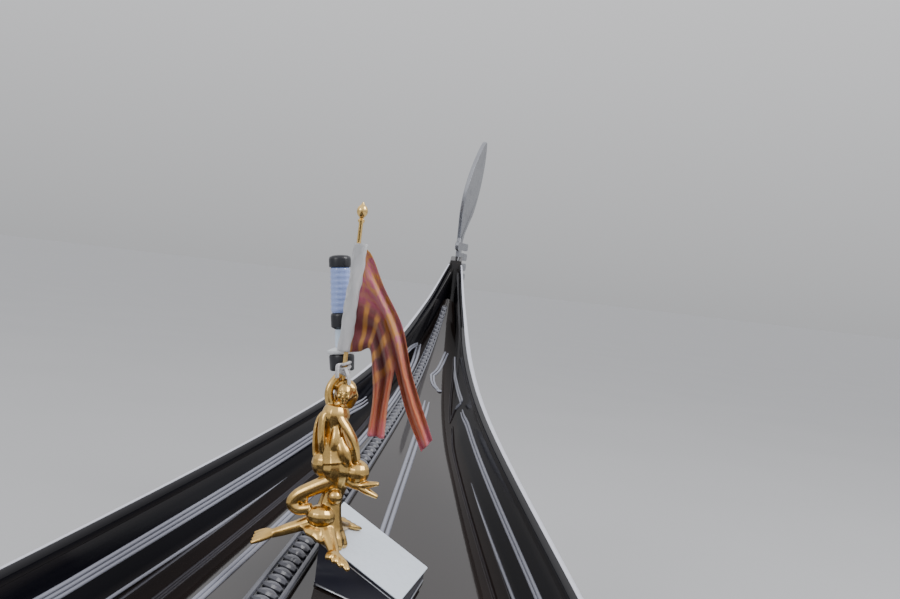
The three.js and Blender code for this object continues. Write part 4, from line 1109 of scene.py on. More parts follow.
# Its round masses: centre and half sizes
FIGURE_MASSES = [
    ((-0.004, -0.008, 0.294), (0.0165, 0.0155, 0.0195)), ((0.007, -0.008, 0.299), (0.019, 0.0212, 0.0212)),
    ((0.02, -0.008, 0.296), (0.009, 0.01, 0.01)), ((0.01, -0.001, 0.34), (0.008, 0.007, 0.007)),
    ((-0.015, 0.012, 0.246), (0.009, 0.0085, 0.0085)), ((-0.015, -0.005, 0.246), (0.009, 0.0085, 0.0085)),
    ((-0.002, 0.0135, 0.152), (0.027, 0.026, 0.027)), ((0.0, -0.012, 0.154), (0.03, 0.028, 0.028)),
    ((-0.004, -0.048, 0.143), (0.026, 0.0235, 0.0235)), ((-0.018, 0.043, 0.081), (0.009, 0.009, 0.009)),
    ((-0.022, -0.0146, 0.093), (0.014, 0.0135, 0.014)), ((-0.02, 0.008, 0.053), (0.026, 0.027, 0.021)),
]


# Half of its face, which is mirrored: a plain calm one of even proportions
FACE_AT = -0.008
FACE = [
    ((-0.0165, 0.0045, 0.2985), (0.0036, 0.0055, 0.0017)),
    ((-0.0176, 0.0056, 0.2944), (0.0024, 0.0031, 0.0017)),
    ((-0.0152, 0.0078, 0.2872), (0.0046, 0.0046, 0.0052)),
    ((-0.0205, 0.0, 0.2908), (0.0031, 0.002, 0.0056)),
    ((-0.0222, 0.0008, 0.2871), (0.0022, 0.0022, 0.002)),
    ((-0.0188, 0.0012, 0.2827), (0.0026, 0.0034, 0.0012)),
    ((-0.0182, 0.001, 0.2801), (0.0025, 0.0029, 0.0013)),
    ((-0.0155, 0.0, 0.2762), (0.0047, 0.005, 0.0042)),
]
# Limbs that lie along the card: points with the height over the card, radii
CARD_LIMBS = [
    ([(-0.01, 0.0, 0.03), (-0.032, -0.012, 0.02), (-0.05, -0.024, 0.012), (-0.068, -0.032, 0.008)],
     [0.02, 0.0145, 0.012, 0.009]),
    ([(0.01, -0.01, 0.03), (0.04, -0.02, 0.02), (0.072, -0.026, 0.012), (0.1, -0.03, 0.007)],
     [0.018, 0.013, 0.01, 0.006]),
]
# Each limb's end opens into a fin of four rays; the hair is a fan of locks
FIN_RAYS, LOCKS, LOCK_TURN = (-1.5, -0.5, 0.5, 1.5), 9, math.radians(20)


def fin_rays(k):
    """One ray of each of the three fins."""
    return [
        slope_limb([(-0.06, -0.03, 0.009), (-0.08, -0.038 + 0.008 * k, 0.009),
                    (-0.094, -0.043 + 0.013 * k, 0.006)], [0.007, 0.0085, 0.0045], 0.7),
        slope_limb([(0.09, -0.028, 0.008), (0.106, -0.032 + 0.008 * k, 0.008),
                    (0.12, -0.034 + 0.013 * k, 0.006)], [0.006, 0.0075, 0.004], 0.7),
        limb([(-0.016, 0.09, 0.008), (-0.016 + 0.006 * k, 0.108, 0.002 + 0.003 * k),
              (-0.016 + 0.01 * k, 0.13, -0.008 + 0.004 * k)], [0.007, 0.0075, 0.004], 0.7, 10, 14)]


def gilt_figure():
    """A winged nymph who holds the staff and ends in two scrolled fish tails over a shell foot."""
    parts = [limb(points, radii, flat) for points, radii, flat in FIGURE_LIMBS]
    parts += [ball(figure_at(*centre), size) for centre, size in FIGURE_MASSES]
    for way in (-1, 1):
        parts += [ball(figure_at(x, FACE_AT + way * y, z), size, 12, 8) for (x, y, z), size in FACE]
    parts.append(foot_shell())
    parts += [slope_limb(points, radii) for points, radii in CARD_LIMBS]
    for k in FIN_RAYS:
        parts += fin_rays(k)
    for k in (-1, 1):
        parts.append(limb([(-0.012, -0.052, 0.119), (-0.014, -0.07, 0.117 + 0.006 * k),
                           (-0.012, -0.092, 0.114 + 0.013 * k)], [0.009, 0.01, 0.005], 0.6, 10, 14))
    for k in range(LOCKS):
        across, up = math.sin(k * LOCK_TURN - math.pi / 2), math.cos(k * LOCK_TURN - math.pi / 2)
        lock = [(-0.002, 0.0165 * across + FACE_AT, 0.303 + 0.011 * up),
                (0.017, 0.0185 * across + FACE_AT, 0.286), (0.02, 0.015 * across - 0.004, 0.262)]
        parts.append(limb(lock, [0.003, 0.0045, 0.002], 1.0, 8, 12))
    return merged(parts)


figure = piece("gilt_nymph", gilt_figure(), GILT, replaces=["gilt_figure"])
cast(figure, 0.0014, 2)
finish_piece(figure, GILT, sharp=180)

# The block is coloured navy as painted shade under the card.
dress("figure_block", PAINTED_SHADE_BLOCK, 0.004, 3)
# The card's corners as the frame has them, round from its port corner aft
CARD = [(3.173, -0.02), (3.407, -0.034), (3.319, -0.226), (3.102, -0.192)]
BLOCK_SHARE = 0.944
card_middle = Vector((sum(c[0] for c in CARD) / 4, sum(c[1] for c in CARD) / 4))
block_plan = [tuple(card_middle + (Vector(c) - card_middle) * BLOCK_SHARE) for c in CARD]


def round_block(height):
    """A closed line round the block; height(x, y) gives its level."""
    around = along_sides(block_plan, lambda _: (0.03, 0.2, 0.4, 0.6, 0.8, 0.97))
    return [(x, y, height(x, y)) for x, y in around]


trim = [tube(round_block(lambda x, y: slope_top(x, y, -0.009).z), 0.0012, 6, closed=True),
        tube(round_block(lambda x, y: FORE.off(x, y - FORE.at(x, 0).y, 0.004).z), 0.0024, 8, closed=True)]
piece("block_lines", merged(trim), STEEL)

# Radius and height of the staff's foot, and of its collar, ball and tip as depths under its top
STAFF_FOOT = [(0.0045, -0.03), (0.0052, -0.004), (0.0042, 0.004)]
STAFF_COLLAR = [(0.004, 0.04), (0.0065, 0.037), (0.0065, 0.034), (0.0038, 0.031)]
BALL_HALF, BALL_TALL, BALL_UNDER = 0.0105, 0.0125, 0.0175
STAFF_LONG = staff_high.z - staff_low.z
staff_head = STAFF_COLLAR + [(BALL_HALF * math.sin(a), BALL_UNDER + BALL_TALL * math.cos(a))
                             for a in spread(0.5, 2.7, 12)] + [(0.003, 0.004), (0.0008, 0.0)]
staff_profile = STAFF_FOOT + [(radius, STAFF_LONG - under) for radius, under in staff_head]
staff = piece("staff_and_finial", lathe(staff_profile, STAFF, 20), BRASS,
              replaces=["flag_staff"])

# The flag hangs from its hoist in soft folds, and its fly ends in two tails.
flag_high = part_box("flag")[1]
HOIST, FLY = 0.2, 0.3
HOIST_LOW = flag_high.z - HOIST
FLAG_FOLDS = 3


def wave_height(length, span, folds, steps=60):
    """How deep that many folds are when cloth of that length is gathered into the span."""
    def wave_long(deep):
        line = [(span * s, deep * math.sin(2 * math.pi * folds * s)) for s in spread(0, 1, steps + 1)]
        return sum(math.dist(p, q) for p, q in zip(line, line[1:]))

    low, high = 0.0, length
    for _ in range(24):
        middle = (low + high) / 2
        low, high = (middle, high) if wave_long(middle) < length else (low, middle)
    return low


# The hanging cloth's edges: share of the fly, distance to starboard, height under the hoist's top
FLAG_TOP = [(0.0, 0.006, 0.0), (0.12, 0.026, 0.014), (0.3, 0.056, 0.07), (0.5, 0.1, 0.142),
            (0.7, 0.128, 0.232), (1.0, 0.18, 0.344)]
FLAG_LOW = [(0.0, 0.006, 0.2), (0.12, 0.024, 0.197), (0.3, 0.044, 0.19), (0.5, 0.054, 0.235),
            (0.7, 0.059, 0.28), (1.0, 0.058, 0.35)]
FLAG_MIDDLE = [(0.0, 0.006, 0.1), (0.3, 0.056, 0.128), (0.5, 0.082, 0.186), (0.6, 0.094, 0.221)]
TAIL_TOP = [(0.6, 0.094, 0.221), (0.8, 0.125, 0.3), (1.0, 0.162, 0.368)]
TAIL_LOW = [(0.6, 0.094, 0.221), (0.8, 0.089, 0.285), (1.0, 0.09, 0.352)]
NOTCH_FROM, NOTCH_WIDE = 0.6, 0.2


def along_edge(rows):
    aside, down = table_curve(rows, 1), table_curve(rows, 2)
    return lambda s: Vector((0, -aside(s), -down(s)))


flag_top, flag_low_edge, flag_middle, tail_top, tail_low = (
    along_edge(rows) for rows in (FLAG_TOP, FLAG_LOW, FLAG_MIDDLE, TAIL_TOP, TAIL_LOW))


def notch_share(s):
    """How wide the notch is at s, as a share of the hoist on each side of the middle."""
    return NOTCH_WIDE * max(0.0, s - NOTCH_FROM) / (1 - NOTCH_FROM)


def flag_point(s, half, share):
    """s is the share of the fly; share runs out from the middle or the notch to the half's edge."""
    outer = (flag_top if half == 0 else flag_low_edge)(s)
    inner = flag_middle(s) if s <= NOTCH_FROM else (tail_top if half == 0 else tail_low)(s)
    flat = HOIST * (0.5 - notch_share(s))
    deep = wave_height(flat, min((outer - inner).length, flat * 0.999), FLAG_FOLDS / 2)
    turn = math.pi * (FLAG_FOLDS * share + half)
    ripple = deep * math.sin(turn) * ease(s / 0.1)
    drift = 0.01 * math.sin(9 * s + 1.3) * s
    return Vector((STAFF.x + ripple + drift, STAFF.y, flag_high.z)) + inner.lerp(outer, share)


FLAG_ALONG, FLAG_ACROSS = 60, 36


def flag_mesh():
    """The hanging mesh, the place of each of its points on the flat cloth, and the flat cloth's area."""
    points, faces, flat_places, flat_area = [], [], [], 0.0
    index = {}

    def vertex(i, k, half):
        s, share = i / FLAG_ALONG, k / FLAG_ACROSS
        joined = k == 0 and s <= NOTCH_FROM
        key = (i, 0, "middle") if joined else (i, k, half)
        if key not in index:
            index[key] = len(points)
            points.append(flag_point(s, half, share))
            flat_places.append((s, 0.5 + (0.5 if half == 0 else -0.5) * share, 0.0))
        return index[key]

    for i in range(FLAG_ALONG):
        for half in (0, 1):
            for k in range(FLAG_ACROSS):
                faces.append(tuple(vertex(i + a, k + b, half) for a, b in ((0, 0), (1, 0), (1, 1), (0, 1))))
        flat_area += FLY / FLAG_ALONG * HOIST * (1 - 2 * notch_share((i + 0.5) / FLAG_ALONG))
    return (points, faces), flat_places, flat_area


flag_part, flag_places, flag_area = flag_mesh()
flag = piece("silk_flag", flag_part, CLOTH, replaces=["flag"], sharp=180)
flat_layer = flag.data.attributes.new("flat", "FLOAT_VECTOR", "POINT")
for entry, place in zip(flat_layer.data, flag_places):
    entry.vector = place
thick = flag.modifiers.new("cloth_thickness", "SOLIDIFY")
thick.thickness, thick.offset = 0.0009, 0.0
bake(flag)
finish_piece(flag, CLOTH, sharp=180)


# The white band: radius, how much longer its section is, its lean
SLEEVE, SLEEVE_OVAL, SLEEVE_LEAN = 0.0086, 1.45, 0.05
# The knot under it: turns, pitch, half sizes along and across, rise and fall of a turn, the tape's half width
KNOT_TURNS, KNOT_PITCH, KNOT_ALONG, KNOT_ACROSS = 4, 0.006, 0.0085, 0.0095
KNOT_SWAY, KNOT_TAPE = 0.004, 0.0034
KNOT_ENDS = (((-0.009, -0.004, 0.0), (-0.018, -0.012, -0.012), (-0.016, -0.016, -0.034)),
             ((-0.009, 0.006, 0.008), (-0.02, 0.01, 0.004), (-0.024, 0.008, -0.018)))


def wrapped_tape():
    """The crumpled white band on the staff that the flag is sewn to, and the tape knotted under it."""
    rings = []
    for z in spread(HOIST_LOW, flag_high.z + 0.004, 50):
        aside = STAFF.y - SLEEVE_LEAN * (z - HOIST_LOW - HOIST / 2)
        ring = []
        for a in turns(20):
            r = SLEEVE + 0.0008 * math.sin(3 * a + z * 60) + 0.0005 * math.sin(5 * a - z * 190)
            ring.append(Vector((STAFF.x + r * math.cos(a), aside + SLEEVE_OVAL * r * math.sin(a), z)))
        rings.append(ring)
    parts = [skin(rings)]
    knot = STAFF + Vector((0, 0, -0.008))
    for k in range(KNOT_TURNS):
        turn = [knot + Vector((KNOT_ALONG * math.cos(a), KNOT_ACROSS * math.sin(a),
                               KNOT_PITCH * k + KNOT_SWAY * math.sin(a + k))) for a in turns(24)]
        parts.append(tube(turn, KNOT_TAPE, 8, 0.8, closed=True))
    for end in KNOT_ENDS:
        line = smooth_line([knot + Vector((0, 0, 0.01)) + Vector(p) for p in end], 14)
        parts.append(tube(line, 0.004, 8, 0.35))
    return merged(parts)


sleeve = piece("hoist_sleeve", wrapped_tape(), TAPE, sharp=180)

# The signal lamp: each part's material with its rows of radius and height over the lamp's foot
LAMP, LAMP_LEAN, LAMP_SCALE = Vector((3.244, -0.022, 1.068)), math.radians(7.7), 1.044
LAMP_UP = Vector((0, math.sin(LAMP_LEAN), math.cos(LAMP_LEAN)))
LENS_RIBS = [(0.0181 + 0.0005 * math.sin(k * math.pi / 2), 0.11 + 0.0025 * k) for k in range(31)]
LAMP_PARTS = [
    ("lamp_base", BLACK_PLASTIC,
     [(0.02, 0.0), (0.0222, 0.002), (0.0232, 0.026), (0.022, 0.029), (0.011, 0.03)]),
    ("lamp_flange", WHITE_PLASTIC,
     [(0.014, 0.0302), (0.0255, 0.031), (0.027, 0.0335), (0.0265, 0.037), (0.013, 0.0425)]),
    ("lamp_neck", PALE_LENS, [(0.0112, 0.0427), (0.012, 0.048), (0.0118, 0.071), (0.011, 0.0755)]),
    ("lamp_band", BLACK_PLASTIC,
     [(0.011, 0.0758), (0.0135, 0.077), (0.0185, 0.08), (0.0188, 0.1), (0.018, 0.104), (0.016, 0.1055)]),
    ("lamp_lens", BLUE_LENS,
     [(0.0165, 0.1058), (0.0178, 0.108), *LENS_RIBS, (0.0178, 0.1875), (0.0165, 0.1888)]),
    ("lamp_cap", BLACK_PLASTIC,
     [(0.0165, 0.189), (0.0202, 0.19), (0.0204, 0.204), (0.0192, 0.2085), (0.014, 0.211), (0.005, 0.212)]),
]
for name, material, rows in LAMP_PARTS:
    hidden = ["signal_lamp"] if name == "lamp_lens" else []
    profile = [(r * LAMP_SCALE, h * LAMP_SCALE) for r, h in rows]
    piece(name, lathe(profile, LAMP, 40, LAMP_UP), material, replaces=hidden, sharp=50)
CLIP_HIGH = 0.09
clip_from, clip_to = LAMP + LAMP_UP * CLIP_HIGH, Vector((STAFF.x + 0.004, STAFF.y, LAMP.z + CLIP_HIGH))
clip = smooth_line([clip_from - Vector((0.014, 0, 0)), clip_from.lerp(clip_to, 0.6), clip_to], 10)
piece("lamp_clip", tube(clip, 0.0045, 10, 0.7), BLACK_PLASTIC)


def card():
    corners = [Vector(corner) for corner in CARD]

    def place(a, b, c):
        p = corners[0].lerp(corners[1], a).lerp(corners[3].lerp(corners[2], a), b)
        return slope_top(p.x, p.y, 0.0013 + c)

    outline = along_sides(rectangle((0, 0), (1, 1)), lambda _: (0.0, 0.04, 0.35, 0.65, 0.96))
    return plate(rounded_outline(outline, 1), 0.0008, 0.0003, place)


piece("blank_card", card(), CARD_STOCK, replaces=["notice_card"])

# Inside structure
for nodes, material, eased in (
        (("frames_port", "frames_starboard", "floor_timbers", "thwart_fore", "thwart_aft"), TIMBER, 0.003),
        (("forcola_socket",), WALNUT, 0.003),
        (("foredeck_bulkhead", "aft_bulkhead", "main_seat_base"), DECK_PAINT, 0.002),
        (("rowing_platform",), TIMBER, 0.004)):
    for node in nodes:
        dress(node, material, eased)

# Floorboards: where the two sets run, how many in each, the gaps between them and beside them, the easing
# of their edges and how far every other one starts from the rest
BOARDS_FORE, BOARDS_AFT = (0.302, 1.93), (-1.83, 0.298)
BOARD_COUNT, BOARD_GAP, BOARD_SIDE_GAP, BOARD_EASED, BOARD_STAGGER = 9, 0.0036, 0.008, 0.002, 0.002


def boards(low, high):
    """Lengthwise floorboards with gaps between them."""
    parts = []
    z0, z1 = FLOOR_TOP - FLOORBOARD, FLOOR_TOP
    for k in range(BOARD_COUNT):
        sections = []
        for x in stations(low + BOARD_STAGGER * (k % 2), high, 0.1):
            starboard = inner_y(STARBOARD, x, z0) + BOARD_SIDE_GAP
            wide = inner_y(PORT, x, z0) - BOARD_SIDE_GAP - starboard
            y0 = starboard + wide * k / BOARD_COUNT + BOARD_GAP / 2
            y1 = starboard + wide * (k + 1) / BOARD_COUNT - BOARD_GAP / 2
            sections.append([(x, y0, z0), (x, y1, z0), (x, y1, z1 - BOARD_EASED), (x, y1 - BOARD_EASED, z1),
                             (x, y0 + BOARD_EASED, z1), (x, y0, z1 - BOARD_EASED)])
        parts.append(skin(sections))
    return merged(parts)


piece("boards_fore", boards(*BOARDS_FORE), BOARDS, replaces=["floorboards_fore"])
piece("boards_aft", boards(*BOARDS_AFT), BOARDS, replaces=["floorboards_aft"])


def flat_box(low, high, chamfer=0.003):
    """A block with eased edges, given by its lowest and highest corners."""
    middle = (low[2] + high[2]) / 2
    return plate(rounded_outline(rectangle(low, high), 2, 0.06), (high[2] - low[2]) / 2, chamfer,
                 lambda a, b, c: Vector((a, b, middle + c)))


def ring_line(x, low, high, radius, corner=0.02):
    """A closed moulding on an upright athwartships face, between two opposite corners."""
    dense = along_sides(rectangle(low, high), lambda long: (corner / long, 0.35, 0.65, 1 - corner / long))
    return tube([(x, y, z) for y, z in dense], radius, 8, closed=True)


# The rosettes' section: radius and height, as shares of their radius
ROSETTE_ROWS = [(0.0, 0.2), (0.2, 0.26), (0.3, 0.14), (0.5, 0.2), (0.8, 0.2), (0.97, 0.08), (1.0, 0.0)]
AFTWARD = Vector((-1, 0, 0))


def rosette(centre, radius, petals=10, axis=AFTWARD):
    """A small turned flower: a boss and petals round it."""
    turn = Vector((0, 0, 1)).rotation_difference(axis)
    sections = []
    for share, height in ROSETTE_ROWS:
        ring = []
        for a in turns(petals * 8):
            gap = share * (1 - abs(math.cos(petals * a / 2)))
            r = max(share, 0.01) * radius * (1 - 0.16 * gap)
            lift = height * radius * (1 - 0.35 * gap)
            ring.append(Vector(centre) + turn @ Vector((r * math.cos(a), r * math.sin(a), lift)))
        sections.append(ring)
    return skin(sections)


# The locker door and its fittings ride on the door's body. Its corners across and up, its aft face and its
# middle along the boat, half its thickness, the level of its middle, and the knob's place across
DOOR_LOW, DOOR_HIGH, DOOR_FACE, DOOR_MIDDLE, DOOR_HALF = (-0.21, 0.13), (0.2, 0.377), 1.996, 2.004, 0.008
DOOR_UP, KNOB_ASIDE = 0.2535, -0.17
# The knob's rows: radius, distance from the door's face
# Its two mouldings: inset, radius; and its hinge leaves: two corners as x and y, levels, half height
DOOR_RINGS = ((0.022, 0.005), (0.034, 0.003))
HINGE_LOW, HINGE_HIGH, HINGE_LEVELS, HINGE_HALF = (1.9935, 0.158), (1.9963, 0.196), (0.185, 0.325), 0.022
KNOB = [(0.011, 0.0), (0.011, 0.002), (0.005, 0.004), (0.0045, 0.01), (0.008, 0.014), (0.0105, 0.019),
        (0.008, 0.024), (0.001, 0.0255)]
door = plate(rectangle(DOOR_LOW, DOOR_HIGH), DOOR_HALF, 0.002,
             lambda a, b, c: Vector((DOOR_MIDDLE + c, a, b)))
piece("door_panel", door, DECK_PAINT, "foredeck_door", ["foredeck_door"])
door_rings = []
for inset, radius in DOOR_RINGS:
    low, high = [a + inset for a in DOOR_LOW], [b - inset for b in DOOR_HIGH]
    door_rings.append(ring_line(DOOR_FACE - 0.0005, low, high, radius))
piece("door_mouldings", merged(door_rings), PAINTED_HIGHLIGHT_CARVING, "foredeck_door")
fittings = [lathe(KNOB, (DOOR_FACE, KNOB_ASIDE, DOOR_UP), 24, AFTWARD),
            rosette((DOOR_FACE + 0.0005, -0.005, DOOR_UP), 0.038)]
fittings += [flat_box((*HINGE_LOW, z - HINGE_HALF), (*HINGE_HIGH, z + HINGE_HALF), 0.0008)
             for z in HINGE_LEVELS]
piece("door_fittings", merged(fittings), BRASS, "foredeck_door")

# Seat: a panelled front, a shaped and carved back
SEAT_FRONT = -0.83
# The front's rings: distance forward, half width, lowest and highest level, radius; then its edge bead
SEAT_RINGS = ((0.001, 0.35, 0.118, 0.31, 0.006), (0.0, 0.33, 0.138, 0.29, 0.0035))
SEAT_EDGE_HALF, SEAT_EDGE_LEVEL, SEAT_EDGE_RADIUS = 0.515, 0.34, 0.007
front = [ring_line(SEAT_FRONT + ahead, (-half, low), (half, high), radius)
         for ahead, half, low, high, radius in SEAT_RINGS]
edge_line = [(SEAT_FRONT + 0.002, y, SEAT_EDGE_LEVEL) for y in spread(-SEAT_EDGE_HALF, SEAT_EDGE_HALF, 20)]
front.append(tube(edge_line, SEAT_EDGE_RADIUS))
piece("seat_front_mouldings", merged(front), PAINTED_HIGHLIGHT_CARVING)
BACK_AT, BACK_LOW, BACK_RAKE, BACK_HALF = Vector((-1.3, 0, 0.358)), 0.352, math.radians(9), 0.014
# Half of the back's outline: across, height
BACK_SIDE = [
    (0.48, 0.352), (0.51, 0.45), (0.53, 0.56), (0.54, 0.66), (0.538, 0.7), (0.525, 0.728), (0.495, 0.745),
    (0.45, 0.75), (0.41, 0.758), (0.375, 0.775), (0.33, 0.8), (0.26, 0.84), (0.21, 0.885), (0.17, 0.93),
    (0.13, 0.962), (0.08, 0.978), (0.03, 0.984),
]


def back_place(y, z, c):
    """A point of the raked back: across, height and distance forward of its middle."""
    ahead, rise = 0.015 + c, z - BACK_LOW
    return BACK_AT + Vector((ahead * math.cos(BACK_RAKE) - rise * math.sin(BACK_RAKE), y,
                             ahead * math.sin(BACK_RAKE) + rise * math.cos(BACK_RAKE)))


side_line = flat_line(BACK_SIDE, 70)
back_outline = side_line + [(-y, z) for y, z in reversed(side_line)]
piece("seat_back_board", plate(back_outline, BACK_HALF, 0.005, back_place), DECK_PAINT,
      replaces=["main_seat_back"])

# The back's carving, as distances across and heights: its shell, the scrolls beside it, leaves on stems; and
# the lines inside its outline, as inset and radius
BACK_EDGES = ((0.012, 0.0055), (0.026, 0.003))
SHELL_FOOT, SHELL_RAYS, SHELL_TURN, RAY_REACHES, RAY_TALL = 0.87, 9, 16, (0.058, 0.052), 1.25
SCROLL_AT, SCROLL_REACH, SCROLL_TURNS, SCROLL_TIGHT = (0.19, 0.8), 0.052, 1.4, 0.82
STEM_LINE = ((0.242, 0.8), (0.3, 0.757), (0.37, 0.724), (0.43, 0.698), (0.475, 0.672))
LEAVES = ((0.3, 0.757), (0.365, 0.726), (0.425, 0.7))
# How far the two leaves of a pair reach outwards and down
LEAF_REACHES = ((0.024, 0.026), (0.044, -0.002))


def leaf_radius(least, more, start, end):
    """A leaf's radius: it swells in the middle, and start and end blunt its ends."""
    return lambda s: least + more * math.sin(math.pi * clamp(s, start, end))


def back_edging(inset, radius, way):
    """A line inside the back's outline, on its fore or aft face."""
    rows = [(y - inset * 0.9, z - (inset if z > 0.5 else 0)) for y, z in side_line]
    rows += [(-y, z) for y, z in reversed(rows)]
    return tube([back_place(y, z, way * (BACK_HALF + 0.0005)) for y, z in rows], radius, 8)


def back_shell(way):
    parts = [ball(back_place(0, 0.868, way * 0.016), (0.012, 0.014, 0.012))]
    for k in range(SHELL_RAYS):
        a = math.radians(SHELL_TURN * (k - SHELL_RAYS // 2))
        reach = RAY_REACHES[k % 2]
        ray = [back_place(reach * t * math.sin(a), SHELL_FOOT + reach * RAY_TALL * t * math.cos(a),
                          way * (0.015 + 0.004 * (1 - t))) for t in spread(0.15, 1, 8)]
        parts.append(tube(ray, leaf_radius(0.003, 0.0045, 0.05, 0.93), 8))
    return parts


def back_scroll(side, way):
    """A scroll beside the shell, and a stem with three pairs of leaves."""
    def at(y, z):
        return back_place(side * y, z, way * (BACK_HALF + 0.0015))

    swirl = []
    for s in spread(0, 1, 40):
        a, r = 2.0 * math.pi * SCROLL_TURNS * s, SCROLL_REACH * (1 - SCROLL_TIGHT * s)
        swirl.append(at(SCROLL_AT[0] + r * math.cos(a), SCROLL_AT[1] + r * math.sin(a)))
    parts = [tube(swirl, lambda s: 0.0075 - 0.004 * s, 8)]
    parts.append(tube(smooth_line([at(y, z) for y, z in STEM_LINE], 30), lambda s: 0.007 - 0.0045 * s, 8))
    for y, z in LEAVES:
        for out, down in LEAF_REACHES:
            leaf = [at(y + out * s, z - down * s) for s in spread(0, 1, 8)]
            parts.append(tube(leaf, leaf_radius(0.0015, 0.006, 0.04, 0.96), 8, 0.7))
    return parts


def back_relief():
    """Gilt edging, a shell at the crest and scrolls on both faces of the back."""
    parts = []
    for way in (-1, 1):
        parts += [back_edging(inset, radius, way) for inset, radius in BACK_EDGES]
        parts += back_shell(way)
        for side in (-1, 1):
            parts += back_scroll(side, way)
    return merged(parts)


piece("seat_back_relief", back_relief(), GILT)

# Upholstery: how deep the buttons pull, over what radius, and how far a blown cushion may stand past its size
BUTTON_PULL, BUTTON_REACH, ROOM_OVER, ROOM_ASIDE = 0.2, 0.02, 0.012, 0.006
BLOW_FRAMES, BLOW_FORCE = 18, 4.0
# The block before it is blown up, as shares of the cushion's sizes along and across, and half its height
BLOCK_LONG, BLOCK_WIDE, BLOCK_HALF_HIGH = 0.97, 0.98, 0.43


def cushion_block(size, corner):
    """The outline and the mesh of the slightly smaller block that a cushion is blown up from."""
    long, wide, high = size
    a, b = long * BLOCK_LONG / 2, wide * BLOCK_WIDE / 2
    outline = []
    for way_x, way_y, start in ((1, 1, 0), (-1, 1, 90), (-1, -1, 180), (1, -1, 270)):
        for t in spread(math.radians(start), math.radians(start + 90), 7):
            outline.append(((a - corner) * way_x + corner * math.cos(t),
                            (b - corner) * way_y + corner * math.sin(t)))
    chamfer = min(0.02, high * 0.25)
    return outline, plate(outline, high * BLOCK_HALF_HIGH, chamfer, lambda p, q, c: Vector((p, q, c)))


def blow_up(obj):
    """Lets air pressure round the cushion between its held points."""
    cloth = obj.modifiers.new("blown", "CLOTH")
    cloth.settings.use_pressure = True
    cloth.settings.uniform_pressure_force = BLOW_FORCE
    cloth.settings.vertex_group_mass = "held"
    cloth.settings.effector_weights.gravity = 0.0
    cloth.settings.quality = 5
    cloth.point_cache.frame_start, cloth.point_cache.frame_end = 1, BLOW_FRAMES
    for number in range(1, BLOW_FRAMES + 1):
        bpy.context.scene.frame_set(number)
    bake(obj)
    bpy.context.scene.frame_set(1)


def pillow(name, size, corner, buttons, voxel, seed):
    """A leather cushion: its underside is held flat, its buttons are pinned, and the rest is blown up."""
    long, wide, high = size
    outline, part = cushion_block(size, corner)
    obj = piece(name, part, LEATHER, sharp=180)
    cast(obj, voxel, 3)
    rng = random.Random(seed)
    held = obj.vertex_groups.new(name="held")
    nx, ny = buttons
    spots = [((i + 0.5) / nx * long - long / 2, (j + 0.5) / ny * wide - wide / 2)
             for i in range(nx) for j in range(ny)]
    for v in obj.data.vertices:
        if v.co.z < -high * 0.3:
            held.add([v.index], 1.0, "REPLACE")
        elif v.co.z > 0:
            near = min(math.hypot(v.co.x - p, v.co.y - q) for p, q in spots)
            v.co.z -= high * BUTTON_PULL * math.exp(-(near / BUTTON_REACH) ** 2)
            v.co.z += 0.0006 * rng.uniform(-1, 1)
            if near < voxel * 1.1:
                held.add([v.index], 1.0, "REPLACE")
    blow_up(obj)
    for v in obj.data.vertices:
        v.co.x = clamp(v.co.x, -long / 2 - ROOM_ASIDE, long / 2 + ROOM_ASIDE)
        v.co.y = clamp(v.co.y, -wide / 2 - ROOM_ASIDE, wide / 2 + ROOM_ASIDE)
        v.co.z = clamp(v.co.z, -high / 2, high / 2 + ROOM_OVER)
    finer = obj.modifiers.new("finer", "SUBSURF")
    finer.levels = finer.render_levels = 1
    bake(obj)
    return obj, outline, spots


def evenly(long, step=0.012):
    """Shares that divide a side of that length evenly."""
    count = max(1, round(long / step))
    return [k / count for k in range(count)]


PIPING, PIPING_LEVELS = 0.0042, (0.36, -0.36)
STUD = [(0.009, -0.003), (0.0095, 0.0), (0.0075, 0.003), (0.0035, 0.0046), (0.0005, 0.005)]
UP = Vector((0, 0, 1))


def upholster(name, node, size, corner, buttons, place, voxel, seed):
    """Makes the cushion, its piping and its buttons, and sets them down with the placing matrix."""
    obj, outline, spots = pillow(name, size, corner, buttons, voxel, seed)
    mesh = obj.data
    tree = BVHTree.FromPolygons([v.co[:] for v in mesh.vertices], [f.vertices[:] for f in mesh.polygons])
    parts = []
    for level in PIPING_LEVELS:
        line = [place @ tree.find_nearest(Vector((p * 1.1, q * 1.1, size[2] * level)))[0]
                for p, q in along_sides(outline, evenly)]
        parts.append(tube(smooth_line(line, 2 * len(line), closed=True), PIPING, 8, closed=True))
    up = (place.to_3x3() @ UP).normalized()
    for p, q in spots:
        hit = tree.ray_cast(Vector((p, q, 0.3)), -UP)[0]
        parts.append(lathe(STUD, place @ (hit + 0.002 * UP), 16, up))
    mesh.transform(place)
    finish_piece(obj, LEATHER, sharp=180)
    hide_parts(node)
    piece(f"{name}_piping", merged(parts), BLACK_HIDE, sharp=60)


# Each cushion: its size, its corners' radius, its rows of buttons, its place, its mesh's step, its seed
upholster("seat_cushion", "main_seat_cushion", (0.42, 0.96, 0.095), 0.04, (3, 7),
          Matrix.Translation((-1.05, 0, 0.3984)), 0.011, 3)
# The back cushion leans with the back; its foot's place and half its height
BACK_PAD_FOOT, BACK_PAD_HALF = Vector((-1.2255, 0, 0.4557)), 0.165
back_lean = Vector((-math.sin(BACK_RAKE), 0, math.cos(BACK_RAKE)))
back_matrix = Matrix.Translation(BACK_PAD_FOOT + BACK_PAD_HALF * back_lean)
back_matrix = back_matrix @ Matrix.Rotation(-BACK_RAKE, 4, "Y") @ Matrix.Rotation(math.pi / 2, 4, "Y")
upholster("back_cushion", "main_back_cushion", (0.33, 0.9, 0.08), 0.04, (2, 6), back_matrix, 0.011, 5)

